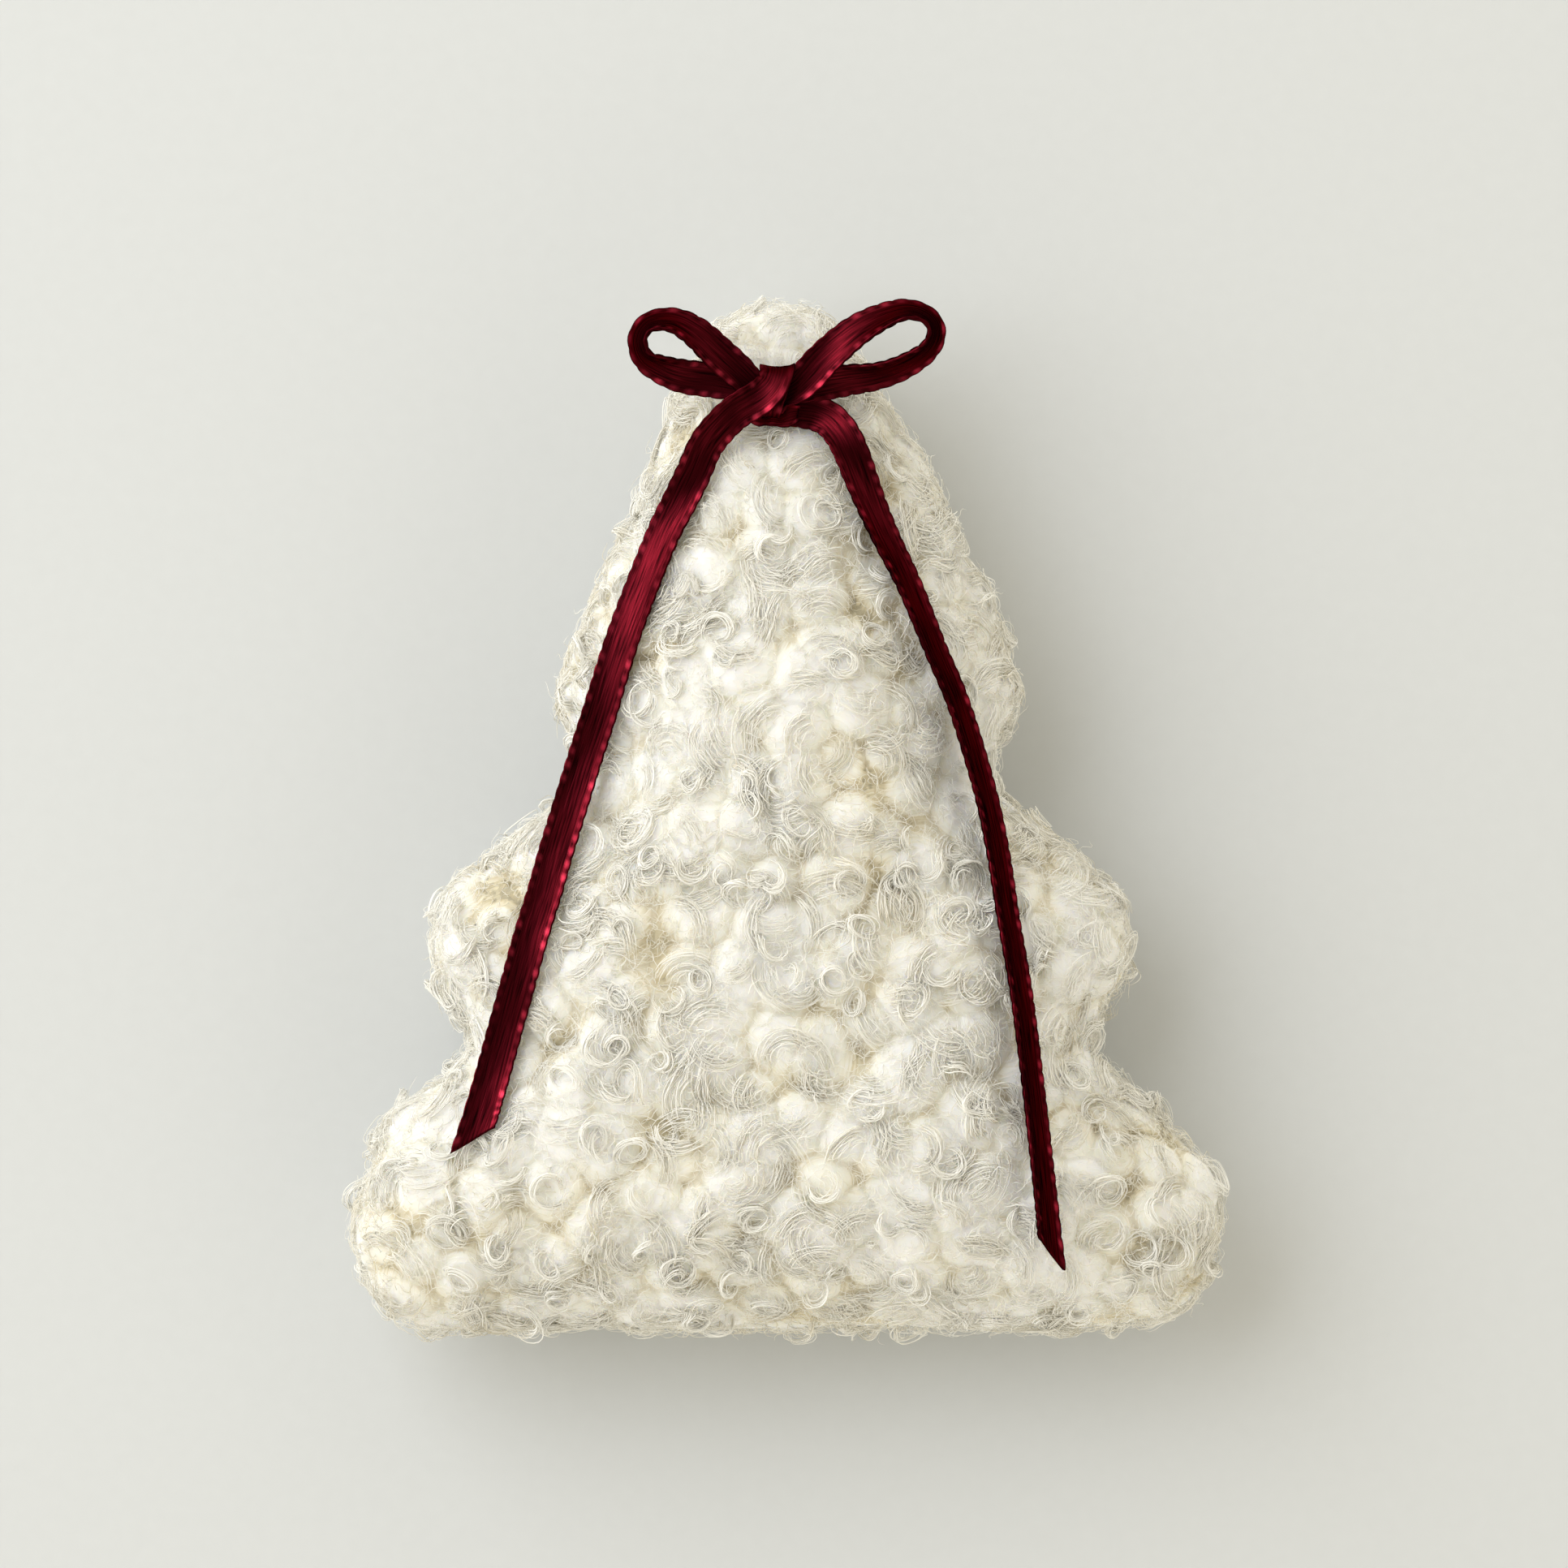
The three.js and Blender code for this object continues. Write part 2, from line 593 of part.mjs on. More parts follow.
// The ribbon's wrap round the middle of the bow, open at both sides where the loops come out.
function knotGeometry() {
  const wrap = roundedOutline(new THREE.Shape(), KNOT_HEIGHT, KNOT_DEPTH, KNOT_CORNER);
  wrap.holes.push(roundedOutline(
    new THREE.Path(), KNOT_HEIGHT - 2 * RIBBON_THICKNESS, KNOT_DEPTH - 2 * RIBBON_THICKNESS,
    KNOT_CORNER - RIBBON_THICKNESS));
  const band = new THREE.ExtrudeGeometry(wrap, {
    depth: RIBBON_WIDTH, steps: 1, bevelEnabled: false, curveSegments: CORNER_STEPS,
  });
  band.translate(0, 0, -RIBBON_WIDTH / 2);
  band.rotateX(Math.PI / 2);
  band.rotateZ(Math.PI / 2);
  return band.translate(knotCentre.x, knotCentre.y, knotCentre.z);
}

// Loop points are given from the mouth of the knot on their own side.
function loopGeometry(list, side) {
  const mouth = side * (RIBBON_WIDTH / 2 + LOOP_GAP);
  const placed = list.map(([x, y, z, lean, share]) => [
    knotCentre.x + mouth + x, knotCentre.y + y, knotCentre.z + z, lean, share,
  ]);
  return ribbonGeometry(placed, side < 0 ? 1 : -1);
}

const clothPile = { color: '#ece9df', roughness: 0.95, metalness: 0 };
const sewingThread = { color: '#f1eee4', roughness: 0.7, metalness: 0 };
const fibreFilling = { color: '#f6f5f1', roughness: 1, metalness: 0 };
const satinRibbon = { color: '#5a0a1c', roughness: 0.35, metalness: 0 };

function part(name, geometry, finish) {
  const mesh = new THREE.Mesh(geometry, new THREE.MeshStandardMaterial(finish));
  mesh.name = name;
  return mesh;
}

const tack = tackRoute();
const tackHole = threadGeometry(tack, tackRadius + THREAD_GAP, true);

const body = new THREE.Group();
body.position.set(-(extent.min.x + extent.max.x) / 2, -(extent.min.y + extent.max.y) / 2, seamHeight);
const frontPanel = panelGeometry(frontHeight, 1, RIM_RINGS, clumpFace);
body.add(part('front_panel', cutAway(frontPanel, tackHole), clothPile));
body.add(part('back_panel', panelGeometry(backHeight, -1, OUTER_RINGS), clothPile));
body.add(part('stuffing', cutAway(fillingGeometry(), tackHole), fibreFilling));
body.add(part('seam_thread', seamThreadGeometry(), sewingThread));
body.add(part('closing_thread', closingThreadGeometry(), sewingThread));

const bow = new THREE.Group();
bow.add(part('bow_knot', cutAway(knotGeometry(), tackHole), satinRibbon));
bow.add(part('bow_stitch', threadGeometry(tack, tackRadius, true), { ...satinRibbon, roughness: 0.7 }));
bow.add(part('bow_loop_left', loopGeometry(LOOP_LEFT, -1), satinRibbon));
bow.add(part('bow_loop_right', loopGeometry(LOOP_RIGHT, 1), satinRibbon));
body.add(bow);

const tree = new THREE.Group();
tree.add(body);
tree.add(part('bow_tail_left', ribbonGeometry(TAIL_LEFT, 1, -TAIL_SLANT_LEFT), satinRibbon));
tree.add(part('bow_tail_right', ribbonGeometry(TAIL_RIGHT, 1, TAIL_SLANT_RIGHT), satinRibbon));

export default tree;
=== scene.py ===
"""Dresses the stuffed tree ornament: curly pile cloth, filling, sewing threads and a satin ribbon bow."""
import math

import bpy
import numpy as np
from bpy.props import FloatProperty, FloatVectorProperty, IntProperty, PointerProperty
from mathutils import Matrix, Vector, noise
from mathutils.bvhtree import BVHTree


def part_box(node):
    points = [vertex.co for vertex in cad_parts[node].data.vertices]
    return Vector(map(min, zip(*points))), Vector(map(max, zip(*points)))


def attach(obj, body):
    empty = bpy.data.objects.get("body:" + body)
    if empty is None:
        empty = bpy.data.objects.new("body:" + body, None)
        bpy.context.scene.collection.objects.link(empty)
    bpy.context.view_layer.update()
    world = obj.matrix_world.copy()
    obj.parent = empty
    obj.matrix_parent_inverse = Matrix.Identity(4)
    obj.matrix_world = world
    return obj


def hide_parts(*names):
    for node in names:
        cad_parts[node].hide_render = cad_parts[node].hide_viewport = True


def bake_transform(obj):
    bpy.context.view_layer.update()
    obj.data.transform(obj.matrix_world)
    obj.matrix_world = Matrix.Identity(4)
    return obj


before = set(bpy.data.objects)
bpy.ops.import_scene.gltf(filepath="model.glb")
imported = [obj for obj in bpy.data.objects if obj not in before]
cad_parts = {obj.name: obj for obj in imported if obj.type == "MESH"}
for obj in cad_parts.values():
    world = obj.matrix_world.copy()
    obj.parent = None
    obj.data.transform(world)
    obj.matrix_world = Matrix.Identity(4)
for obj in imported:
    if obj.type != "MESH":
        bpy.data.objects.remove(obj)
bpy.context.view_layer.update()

bl_info = {
    "name": "Stuffed Tree Ornament",
    "version": (1, 0, 0),
    "blender": (4, 5, 0),
    "location": "View3D > Sidebar > Ornament",
    "description": "Builds the pile cloth, filling, threads and ribbon bow of a stuffed tree ornament",
    "category": "Object",
}

MM = 0.001
TINY = 1e-12
SEAM_Z = (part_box("front_panel")[0].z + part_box("back_panel")[1].z) / 2
KNOT_LOW, KNOT_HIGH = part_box("bow_knot")
KNOT = (KNOT_LOW + KNOT_HIGH) / 2
TREE = "tree"
SATIN = "polyester_satin_ribbon"

# Ribbon tails, as they lie on the front: x, y, height above the table (mm), lean (degrees), width share.
TAIL_LEFT = [
    (-1.2, 39.3, 20.9, 14, 1),
    (-1.2, 39.35, 21.7, 20, 1),
    (-1.25, 38.8, 22.5, 26, 1),
    (-1.6, 37.9, 22.9, 24, 1),
    (-2.4, 37, 22.9, 12, 1),
    (-3.5, 36.3, 22.7, -2, 1),
    (-4.7, 35.6, 22.2, -8, 1),
    (-6.05, 34.4, 21.7, -12, 1),
    (-7.5, 32.6, 20.7, -12, 1),
    (-8.6, 30.1, 20, -3, 1),
    (-9.8, 27.6, 19.6, 12, 1),
    (-11.1, 25, 19.4, 22, 1),
    (-12.7, 21.1, 19.3, 24, 1),
    (-14.3, 16.9, 19.5, 22, 1),
    (-15.6, 13, 19.4, 16, 1),
    (-16.8, 9.1, 18.9, 9, 1),
    (-18.1, 5.1, 18.2, 9, 1),
    (-19.3, 1.2, 18.4, 9, 1),
    (-20.5, -2.7, 19.6, 9, 1),
    (-21.6, -6.6, 20.6, 9, 1),
    (-22.8, -10.5, 21.4, 9, 1),
    (-23.9, -14.5, 21.1, 9, 1),
    (-25, -18.4, 20.2, 9, 1),
    (-26.1, -22.4, 19.8, 9, 1),
    (-27, -25.5, 20.2, 9, 1),
    (-27.9, -28.3, 20.7, 9, 1),
]
TAIL_RIGHT = [
    (-0.6, 35.6, 19.9, 4, 0.8),
    (0.9, 35.6, 19.8, 4, 0.95),
    (2.2, 35.4, 19.8, 4, 1),
    (3.4, 34.8, 20.1, 4, 1),
    (4.5, 33.5, 20.6, 2, 1),
    (5.3, 31.8, 20.9, -8, 1),
    (6.1, 29.6, 21, -24, 1),
    (7.1, 27, 21.1, -36, 1),
    (8.4, 24.1, 21.4, -44, 1),
    (10.3, 20.2, 21.6, -50, 1),
    (12.5, 14.8, 21.6, -54, 1),
    (14.6, 9.8, 20.8, -55, 1),
    (16.8, 2.6, 19.8, -55, 1),
    (18, -3, 20.5, -55, 1),
    (18.9, -8.8, 21.7, -56, 1),
    (20, -15.2, 22.5, -56, 1),
    (21, -23, 22.7, -56, 1),
    (21.9, -30.9, 23.3, -55, 1),
    (22.4, -35.5, 23.2, -54, 1),
    (22.7, -38.2, 22.3, -54, 1),
]
# Loops of the bow: x, y, z from the knot's mouth (mm), lean (degrees), width share.
LOOP_LEFT = [
    (0.9, 0, 0.25, 0, 0.55),
    (-0.4, 0.7, 0.35, 2, 0.8),
    (-1.6, 1.8, 0.6, 8, 0.95),
    (-3.3, 3.3, 0.9, 18, 1),
    (-5.4, 5.2, 1.2, 34, 1),
    (-7.4, 6.2, 1.3, 50, 1),
    (-9.4, 6, 1.2, 60, 1),
    (-10.3, 4.7, 1, 62, 1),
    (-9.8, 3, 0.7, 58, 1),
    (-8.1, 2, 0.3, 40, 1),
    (-6.2, 1.4, -0.1, 20, 1),
    (-4, 1.1, -0.4, 8, 1),
    (-1.6, 0.6, -0.45, 2, 0.9),
    (-0.5, 0.2, -0.4, 0, 0.7),
    (0.9, 0, -0.35, 0, 0.55),
]
LOOP_RIGHT = [
    (-2.4, -0.6, 0.2, 0, 0.5),
    (-1.2, -0.25, 0.45, 0, 0.65),
    (0.1, 0.45, 0.75, 3, 0.9),
    (1.2, 1.5, 0.9, 5, 1),
    (2.7, 3.1, 1, 12, 1),
    (5.2, 5.2, 1.3, 30, 1),
    (7.6, 6.5, 1.5, 46, 1),
    (9.7, 7.1, 1.6, 58, 1),
    (11.5, 6.6, 1.5, 64, 1),
    (12.2, 5.3, 1.3, 64, 1),
    (11.5, 3.7, 0.9, 60, 1),
    (9.4, 2.3, 0.4, 52, 1),
    (7.1, 1.5, 0, 46, 1),
    (4.3, 1.1, -0.3, 32, 1),
    (1.6, 0.6, -0.45, 8, 0.9),
    (0.5, 0.2, -0.4, 0, 0.7),
    (-0.9, 0, -0.35, 0, 0.55),
]
# Distance of the loops' mouths from the knot.
LOOP_MOUTH = 0.2 * MM
# Crumpled edge of ribbon that shows below the knot, in the same columns as the tails.
KNOT_FOLD = [
    (-3.6, 35.5, 20.9, 62, 0.5),
    (-2.9, 35.1, 20.9, 50, 0.6),
    (-2.3, 34.95, 21.1, 66, 0.62),
    (-1.6, 35.1, 21, 48, 0.6),
    (-0.9, 35, 21.1, 56, 0.7),
    (-0.2, 35.3, 20.9, 36, 0.7),
    (0.6, 35.5, 20.6, 50, 0.55),
]


def linear(hex_colour):
    """The linear colour of an sRGB hex value."""
    channels = [int(hex_colour[i:i + 2], 16) / 255 for i in (1, 3, 5)]
    return tuple(c / 12.92 if c <= 0.04045 else ((c + 0.055) / 1.055) ** 2.4 for c in channels)


def dimmed(colour, share):
    """A colour at a share of its light."""
    return tuple(c * share for c in colour)


def length_property(name, description, default):
    """A length that a user may change."""
    return FloatProperty(
        name=name, description=description, default=default, min=0, unit="LENGTH", precision=5)


def colour_property(name, description, hex_colour):
    """A colour that a user may change."""
    return FloatVectorProperty(
        name=name, description=description, default=linear(hex_colour), size=3, min=0, max=1, subtype="COLOR")


class PileSettings(bpy.types.PropertyGroup):
    """Sizes and colours of the curly pile cloth."""

    seed: IntProperty(name="Seed", description="Start of the random draws for tufts and fibres", default=7)
    pad_grain: length_property("Pad Grain", "Edge length of the cloth's faces in the simulation", 1.7 * MM)
    pressure: FloatProperty(name="Pressure", description="Pressure of the filling on the cloth", default=4)
    swell: length_property("Swell", "Most that the filling pushes the cloth out", 0.8 * MM)
    cloth_thickness: length_property("Cloth Thickness", "Thickness of the backing", 1.1 * MM)
    clump_spacing: length_property("Clump Spacing", "Least distance between two clumps of tufts", 8.5 * MM)
    clump_height: length_property("Clump Height", "Height of a clump above the gaps around it", 1.1 * MM)
    front_clump_height: length_property(
        "Front Clump Height", "What the front's clumps add to its solid", 0.7 * MM)
    tuft_spacing: length_property("Tuft Spacing", "Least distance between two tufts", 3.7 * MM)
    tuft_height: length_property("Tuft Height", "Height of a tuft above the gaps around it", 0.62 * MM)
    fibre_diameter: length_property("Fibre Diameter", "Diameter of one drawn fibre", 0.11 * MM)
    ring_share: FloatProperty(
        name="Ring Share", description="Share of the tufts that turn into a ring", default=0.22,
        subtype="FACTOR")
    ring_fibres: IntProperty(
        name="Ring Fibres", description="Fibres that turn together in a ring", default=12)
    lock_fibres: IntProperty(name="Lock Fibres", description="Fibres that lie together in a lock", default=20)
    fuzz_fibres: IntProperty(name="Fuzz Fibres", description="Short loose fibres", default=24000)
    stray_fibres: IntProperty(name="Stray Fibres", description="Fibres that stand off the cloth", default=90)
    # Root, middle and tip colours of the pile: the root is partly the knit's own darker colour and partly
    # painted shade deep in the gaps; the white tip is painted light on the tops.
    root: colour_property("Root", "Pile colour deep in the gaps", "#dad0b4")
    middle: colour_property("Middle", "Pile colour halfway up", "#f6f2e6")
    tip: colour_property("Tip", "Pile colour at the fibre ends", "#fffef9")


class RibbonSettings(bpy.types.PropertyGroup):
    """Sizes and colours of the satin ribbon."""

    width: length_property("Width", "Width from edge to edge", 3 * MM)
    thickness: length_property("Thickness", "Thickness of the satin between its edges", 0.24 * MM)
    edge_thickness: length_property("Edge Thickness", "Thickness of the woven edge", 0.42 * MM)
    edge_pitch: length_property(
        "Edge Pitch", "Distance between the turns of the weft along the edge", 1.25 * MM)
    edge_scallop: length_property("Edge Scallop", "How far each turn of the weft stands out", 0.1 * MM)
    shade: colour_property("Shade", "Colour between the floats", "#130203")
    satin: colour_property("Satin", "Colour of the satin floats", "#4e0b14")
    # The edge colour is a painted glint on the weft's turns.
    edge: colour_property("Edge", "Colour of the weft's turns along the edge", "#9a2638")


class StageSettings(bpy.types.PropertyGroup):
    """Floor, lamps and camera."""

    floor: colour_property("Floor", "Colour of the pale table", "#d7dadc")
    frame_width: length_property("Frame Width", "Width of the view at the seam's height", 138 * MM)
    camera_height: length_property("Camera Height", "Height of the camera above the table", 2.0)
    centre_x: FloatProperty(name="Centre X", description="View centre", default=-0.64 * MM, unit="LENGTH")
    centre_y: FloatProperty(name="Centre Y", description="View centre", default=2.93 * MM, unit="LENGTH")
    key_power: FloatProperty(
        name="Key Power", description="Power of the window-like lamp", default=6.8, unit="POWER")
    gloss_power: FloatProperty(
        name="Gloss Power", description="Power of the small lamp that the satin shines in", default=5.0,
        unit="POWER")
    fill: FloatProperty(name="Fill", description="Strength of the soft light from around", default=1.3)


class OrnamentSettings(bpy.types.PropertyGroup):
    """All that a user may change."""

    pile: PointerProperty(type=PileSettings)
    ribbon: PointerProperty(type=RibbonSettings)
    stage: PointerProperty(type=StageSettings)


# Mesh helpers

def link_object(name, mesh, material):
    """An object in the scene from a mesh and its one material."""
    mesh.materials.append(material)
    made = bpy.data.objects.new(name, mesh)
    bpy.context.scene.collection.objects.link(made)
    return made


def mesh_from(name, points, quads, triangles=()):
    """A smooth-shaded mesh from arrays of points, four-sided and three-sided faces."""
    quads = np.asarray(quads, np.int32).reshape(-1, 4)
    triangles = np.asarray(triangles, np.int32).reshape(-1, 3)
    mesh = bpy.data.meshes.new(name)
    mesh.vertices.add(len(points))
    mesh.vertices.foreach_set("co", np.asarray(points, np.float32).ravel())
    corners = np.concatenate([quads.ravel(), triangles.ravel()])
    starts = np.concatenate([
        np.arange(len(quads)) * 4, quads.size + np.arange(len(triangles)) * 3]).astype(np.int32)
    mesh.loops.add(len(corners))
    mesh.loops.foreach_set("vertex_index", corners)
    mesh.polygons.add(len(starts))
    mesh.polygons.foreach_set("loop_start", starts)
    mesh.polygons.foreach_set("use_smooth", np.full(len(starts), True))
    mesh.update(calc_edges=True)
    mesh.validate()
    return mesh


def vectors_from(items, field):
    """A field of three numbers, read from all items."""
    found = np.empty(len(items) * 3, np.float32)
    items.foreach_get(field, found)
    return found.reshape(-1, 3).astype(float)


def points_of(mesh):
    """The places of a mesh's points."""
    return vectors_from(mesh.vertices, "co")


def normals_of(mesh):
    """The directions out of a mesh at its points."""
    return vectors_from(mesh.vertex_normals, "vector")


def store(mesh, name, values):
    """Keeps a number or a vector at each point, for a material to read."""
    values = np.asarray(values, np.float32)
    kind, field = ("FLOAT", "value") if values.ndim == 1 else ("FLOAT_VECTOR", "vector")
    layer = mesh.attributes.new(name, kind, "POINT")
    layer.data.foreach_set(field, values.ravel())


def unit(vectors):
    """The same directions, 1 long."""
    return vectors / np.maximum(np.linalg.norm(vectors, axis=-1, keepdims=True), TINY)


def smoothstep(low, high, value):
    """Goes smoothly from 0 at the low value to 1 at the high one."""
    t = np.clip((value - low) / (high - low), 0, 1)
    return t * t * (3 - 2 * t)


def evened(times):
    """A modifier that evens a mesh out that many times."""
    return "SMOOTH", {"factor": 0.5, "iterations": times}


def remeshed(name, nodes, grain, smoothing):
    """One even skin round the joined solids of some nodes, without what lies inside it."""
    points, faces = [], []
    for node in nodes:
        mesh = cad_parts[node].data
        start = sum(len(p) for p in points)
        points.append(points_of(mesh))
        faces += [tuple(start + v for v in face.vertices) for face in mesh.polygons]
    joined = bpy.data.meshes.new(name)
    joined.from_pydata(np.concatenate(points).tolist(), [], faces)
    return keep_outer(modified(joined, [
        ("REMESH", {"mode": "VOXEL", "voxel_size": grain}),
        evened(smoothing),
    ]))


def modified(mesh, modifiers):
    """A copy of the mesh with modifiers applied, in place of the mesh itself."""
    holder = bpy.data.objects.new(mesh.name, mesh)
    bpy.context.scene.collection.objects.link(holder)
    for kind, settings in modifiers:
        added = holder.modifiers.new(kind.title(), kind)
        for name, value in settings.items():
            setattr(added, name, value)
    made = bpy.data.meshes.new_from_object(holder.evaluated_get(bpy.context.evaluated_depsgraph_get()))
    bpy.data.objects.remove(holder)
    bpy.data.meshes.remove(mesh)
    return made


def keep_outer(mesh):
    """Points and faces of the connected skin with the widest reach."""
    count = len(mesh.vertices)
    edges = np.empty(len(mesh.edges) * 2, np.int32)
    mesh.edges.foreach_get("vertices", edges)
    edges = edges.reshape(-1, 2)
    group = np.arange(count)
    while True:
        low = np.minimum(group[edges[:, 0]], group[edges[:, 1]])
        before = group.copy()
        np.minimum.at(group, edges[:, 0], low)
        np.minimum.at(group, edges[:, 1], low)
        group = group[group]
        if (group == before).all():
            break
    points = points_of(mesh)
    names = np.unique(group)
    reach = [np.ptp(points[group == name], axis=0).sum() for name in names]
    kept = group == names[int(np.argmax(reach))]
    number = np.cumsum(kept) - 1
    quads = quads_of(mesh)
    quads = quads[kept[quads[:, 0]]]
    bpy.data.meshes.remove(mesh)
    return points[kept], number[quads]


def quads_of(mesh):
    """The four-sided faces of a mesh."""
    return np.array([tuple(f.vertices) for f in mesh.polygons if len(f.vertices) == 4])


# Materials

# Places of a Mix node's colours among its inputs, and of the mixed colour among its outputs.
MIX_FIRST, MIX_SECOND, MIX_RESULT = 6, 7, 2


def add_node(tree, kind, settings=None, links=None):
    """Adds one node, sets its fields, sockets and colour stops, and links other outputs to its inputs."""
    made = tree.nodes.new(kind)
    for name, value in (settings or {}).items():
        if name == "stops":
            elements = made.color_ramp.elements
            while len(elements) < len(value):
                elements.new(0.5)
            for element, (place, colour) in zip(elements, value):
                element.position = place
                element.color = (*colour, 1)
        elif isinstance(name, int) or name in made.inputs:
            made.inputs[name].default_value = value
        else:
            setattr(made, name, value)
    for name, source in (links or {}).items():
        tree.links.new(source, made.inputs[name])
    return made


def new_material(name):
    """An empty material and its nodes."""
    made = bpy.data.materials.new(name)
    made.use_nodes = True
    made.node_tree.nodes.clear()
    return made, made.node_tree


def finish_material(material, settings, links):
    """Gives the material its surface."""
    tree = material.node_tree
    shader = add_node(tree, "ShaderNodeBsdfPrincipled", settings, links)
    add_node(tree, "ShaderNodeOutputMaterial", links={"Surface": shader.outputs["BSDF"]})
    return material


def stored(tree, name):
    """What the mesh keeps at its points under that name."""
    return add_node(tree, "ShaderNodeAttribute", {"attribute_name": name})


def places_on(tree):
    """Places on the object itself."""
    return add_node(tree, "ShaderNodeTexCoord").outputs["Object"]


def streaked(tree, places, scale):
    """Streaks over the places, each way as fine as the scale says."""
    scaled = add_node(tree, "ShaderNodeMapping", {"Scale": scale}, {"Vector": places})
    return add_node(tree, "ShaderNodeTexNoise", {"Scale": 1.0, "Detail": 2.0, "Roughness": 0.6},
                    {"Vector": scaled.outputs["Vector"]}).outputs["Fac"]


def ranged(tree, value, low, high, from_low=0.0, from_high=1.0):
    """The value's range, spread over another one."""
    return add_node(tree, "ShaderNodeMapRange", {
        "From Min": from_low, "From Max": from_high, "To Min": low, "To Max": high,
    }, {"Value": value}).outputs["Result"]


def combined(tree, operation, first, second, clamp=False):
    """The sum or the product of two values."""
    return add_node(tree, "ShaderNodeMath", {"operation": operation, "use_clamp": clamp},
                    {0: first, 1: second}).outputs["Value"]


def coloured(tree, value, stops):
    """Colours for the values, from the stops."""
    return add_node(tree, "ShaderNodeValToRGB", {"stops": stops}, {"Fac": value}).outputs["Color"]


def bumped(tree, height, strength, depth):
    """Small bumps of that depth."""
    return add_node(tree, "ShaderNodeBump", {"Strength": strength, "Distance": depth},
                    {"Height": height}).outputs["Normal"]


def boucle_fibre(pile):
    """Crimped acrylic pile fibre, matt and pale: painted shade at the roots, painted light at the ends."""
    material, tree = new_material("boucle_pile_fibre")
    stops = [(0.0, pile.root), (0.4, pile.middle), (0.8, pile.tip)]
    return finish_material(material, {"Roughness": 0.85, "Specular IOR Level": 0.1}, {
        "Base Color": coloured(tree, stored(tree, "tone").outputs["Fac"], stops),
    })


def boucle_ground(pile):
    """Curly acrylic pile on a weft-knitted net: packed fibre that glows softly, open in the gaps, with
    painted shade there.
    """
    fibre_pitch = 0.22 * MM  # drawn coarser than single fibres, so that the combing shows
    fibre_run = 3 * MM
    net_pitch = 0.75 * MM
    gap_shade = 0.65
    material, tree = new_material("boucle_pile_ground")
    tone = stored(tree, "tone").outputs["Fac"]
    strands = streaked(tree, stored(tree, "comb").outputs["Vector"], (1 / fibre_pitch, 1 / fibre_run, 1))
    net = add_node(tree, "ShaderNodeTexVoronoi", {"Scale": 1 / net_pitch, "Randomness": 0.6},
                   {"Vector": places_on(tree)})
    # The net's holes, darker where the gaps open: painted shade inside them.
    hole_shade = ranged(tree, net.outputs["Distance"], -0.35, 0.0, from_low=0.1, from_high=0.4)
    open_gap = ranged(tree, tone, 1.0, 0.0, from_low=0.1, from_high=0.4)
    combed = ranged(tree, strands, -0.2, 0.2, from_low=0.25, from_high=0.75)
    hole_shades = combined(tree, "MULTIPLY", hole_shade, open_gap)
    whole = combined(tree, "ADD", combined(tree, "ADD", tone, combed), hole_shades, clamp=True)
    # The darkest stop is the root colour dimmed: painted shade deep in the gaps.
    stops = [(0.0, dimmed(pile.root, gap_shade)), (0.2, pile.root), (0.5, pile.middle), (0.9, pile.tip)]
    return finish_material(material, {
        "Roughness": 0.9, "Specular IOR Level": 0.1, "Subsurface Weight": 0.8,
        "Subsurface Radius": (1.0, 0.9, 0.7), "Subsurface Scale": 1.5 * MM,
    }, {
        "Base Color": coloured(tree, whole, stops),
        "Normal": bumped(tree, strands, strength=0.6, depth=0.12 * MM),
    })


def satin_weave(ribbon):
    """Woven polyester satin: long dyed warp floats that throw their own red back along the ribbon, streaky at
    close range,
    with painted glints: brighter, less metallic dots on the weft's turns along both edges."""
    float_width = 0.16 * MM  # drawn coarser than the real yarn, so that the streaks show
    float_length = 4 * MM
    material, tree = new_material(SATIN)
    places = add_node(tree, "ShaderNodeUVMap", {"uv_map": "weave"})
    streaks = streaked(tree, places.outputs["UV"], (1 / float_length, 1 / float_width, 1))
    floats = coloured(tree, streaks, [(0.32, ribbon.shade), (0.68, ribbon.satin)])
    # Painted glints on the weft's turns: a brighter red that is less metallic, so that it shows whatever it
    # reflects.
    turns = stored(tree, "weft_turn").outputs["Fac"]
    colour = add_node(tree, "ShaderNodeMix", {"data_type": "RGBA", MIX_SECOND: (*ribbon.edge, 1)},
                      {"Factor": turns, MIX_FIRST: floats})
    along = add_node(tree, "ShaderNodeTangent", {"direction_type": "UV_MAP", "uv_map": "weave"})
    return finish_material(material, {
        "Specular IOR Level": 0.0, "Specular Tint": (*ribbon.satin, 1), "Anisotropic": 0.5,
    }, {
        "Metallic": ranged(tree, turns, 0.85, 0.55),
        "Base Color": colour.outputs[MIX_RESULT],
        "Roughness": ranged(tree, streaks, 0.42, 0.24, from_low=0.3, from_high=0.7),
        "Normal": bumped(tree, streaks, strength=0.4, depth=0.05 * MM),
        "Tangent": along.outputs["Tangent"],
    })


def satin_of(settings):
    """The ribbon's one material, made when it is first asked for."""
    return bpy.data.materials.get(SATIN) or satin_weave(settings.ribbon)


def spun_thread(name, hex_colour):
    """Spun polyester sewing thread: matt, with the slant of its twist."""
    twist = 0.35 * MM
    coarseness = 6.28  # the twist is drawn coarser than it is, so that it shows
    furrow_shade = 0.6
    colour = linear(hex_colour)
    material, tree = new_material(name)
    plies = add_node(tree, "ShaderNodeTexWave", {
        "Scale": 1 / (twist * coarseness), "bands_direction": "DIAGONAL",
    }, {"Vector": places_on(tree)}).outputs["Fac"]
    return finish_material(material, {"Roughness": 0.7, "Specular IOR Level": 0.3}, {
        "Base Color": coloured(tree, plies, [(0.0, dimmed(colour, furrow_shade)), (0.7, colour)]),
        "Normal": bumped(tree, plies, strength=0.6, depth=0.06 * MM),
    })


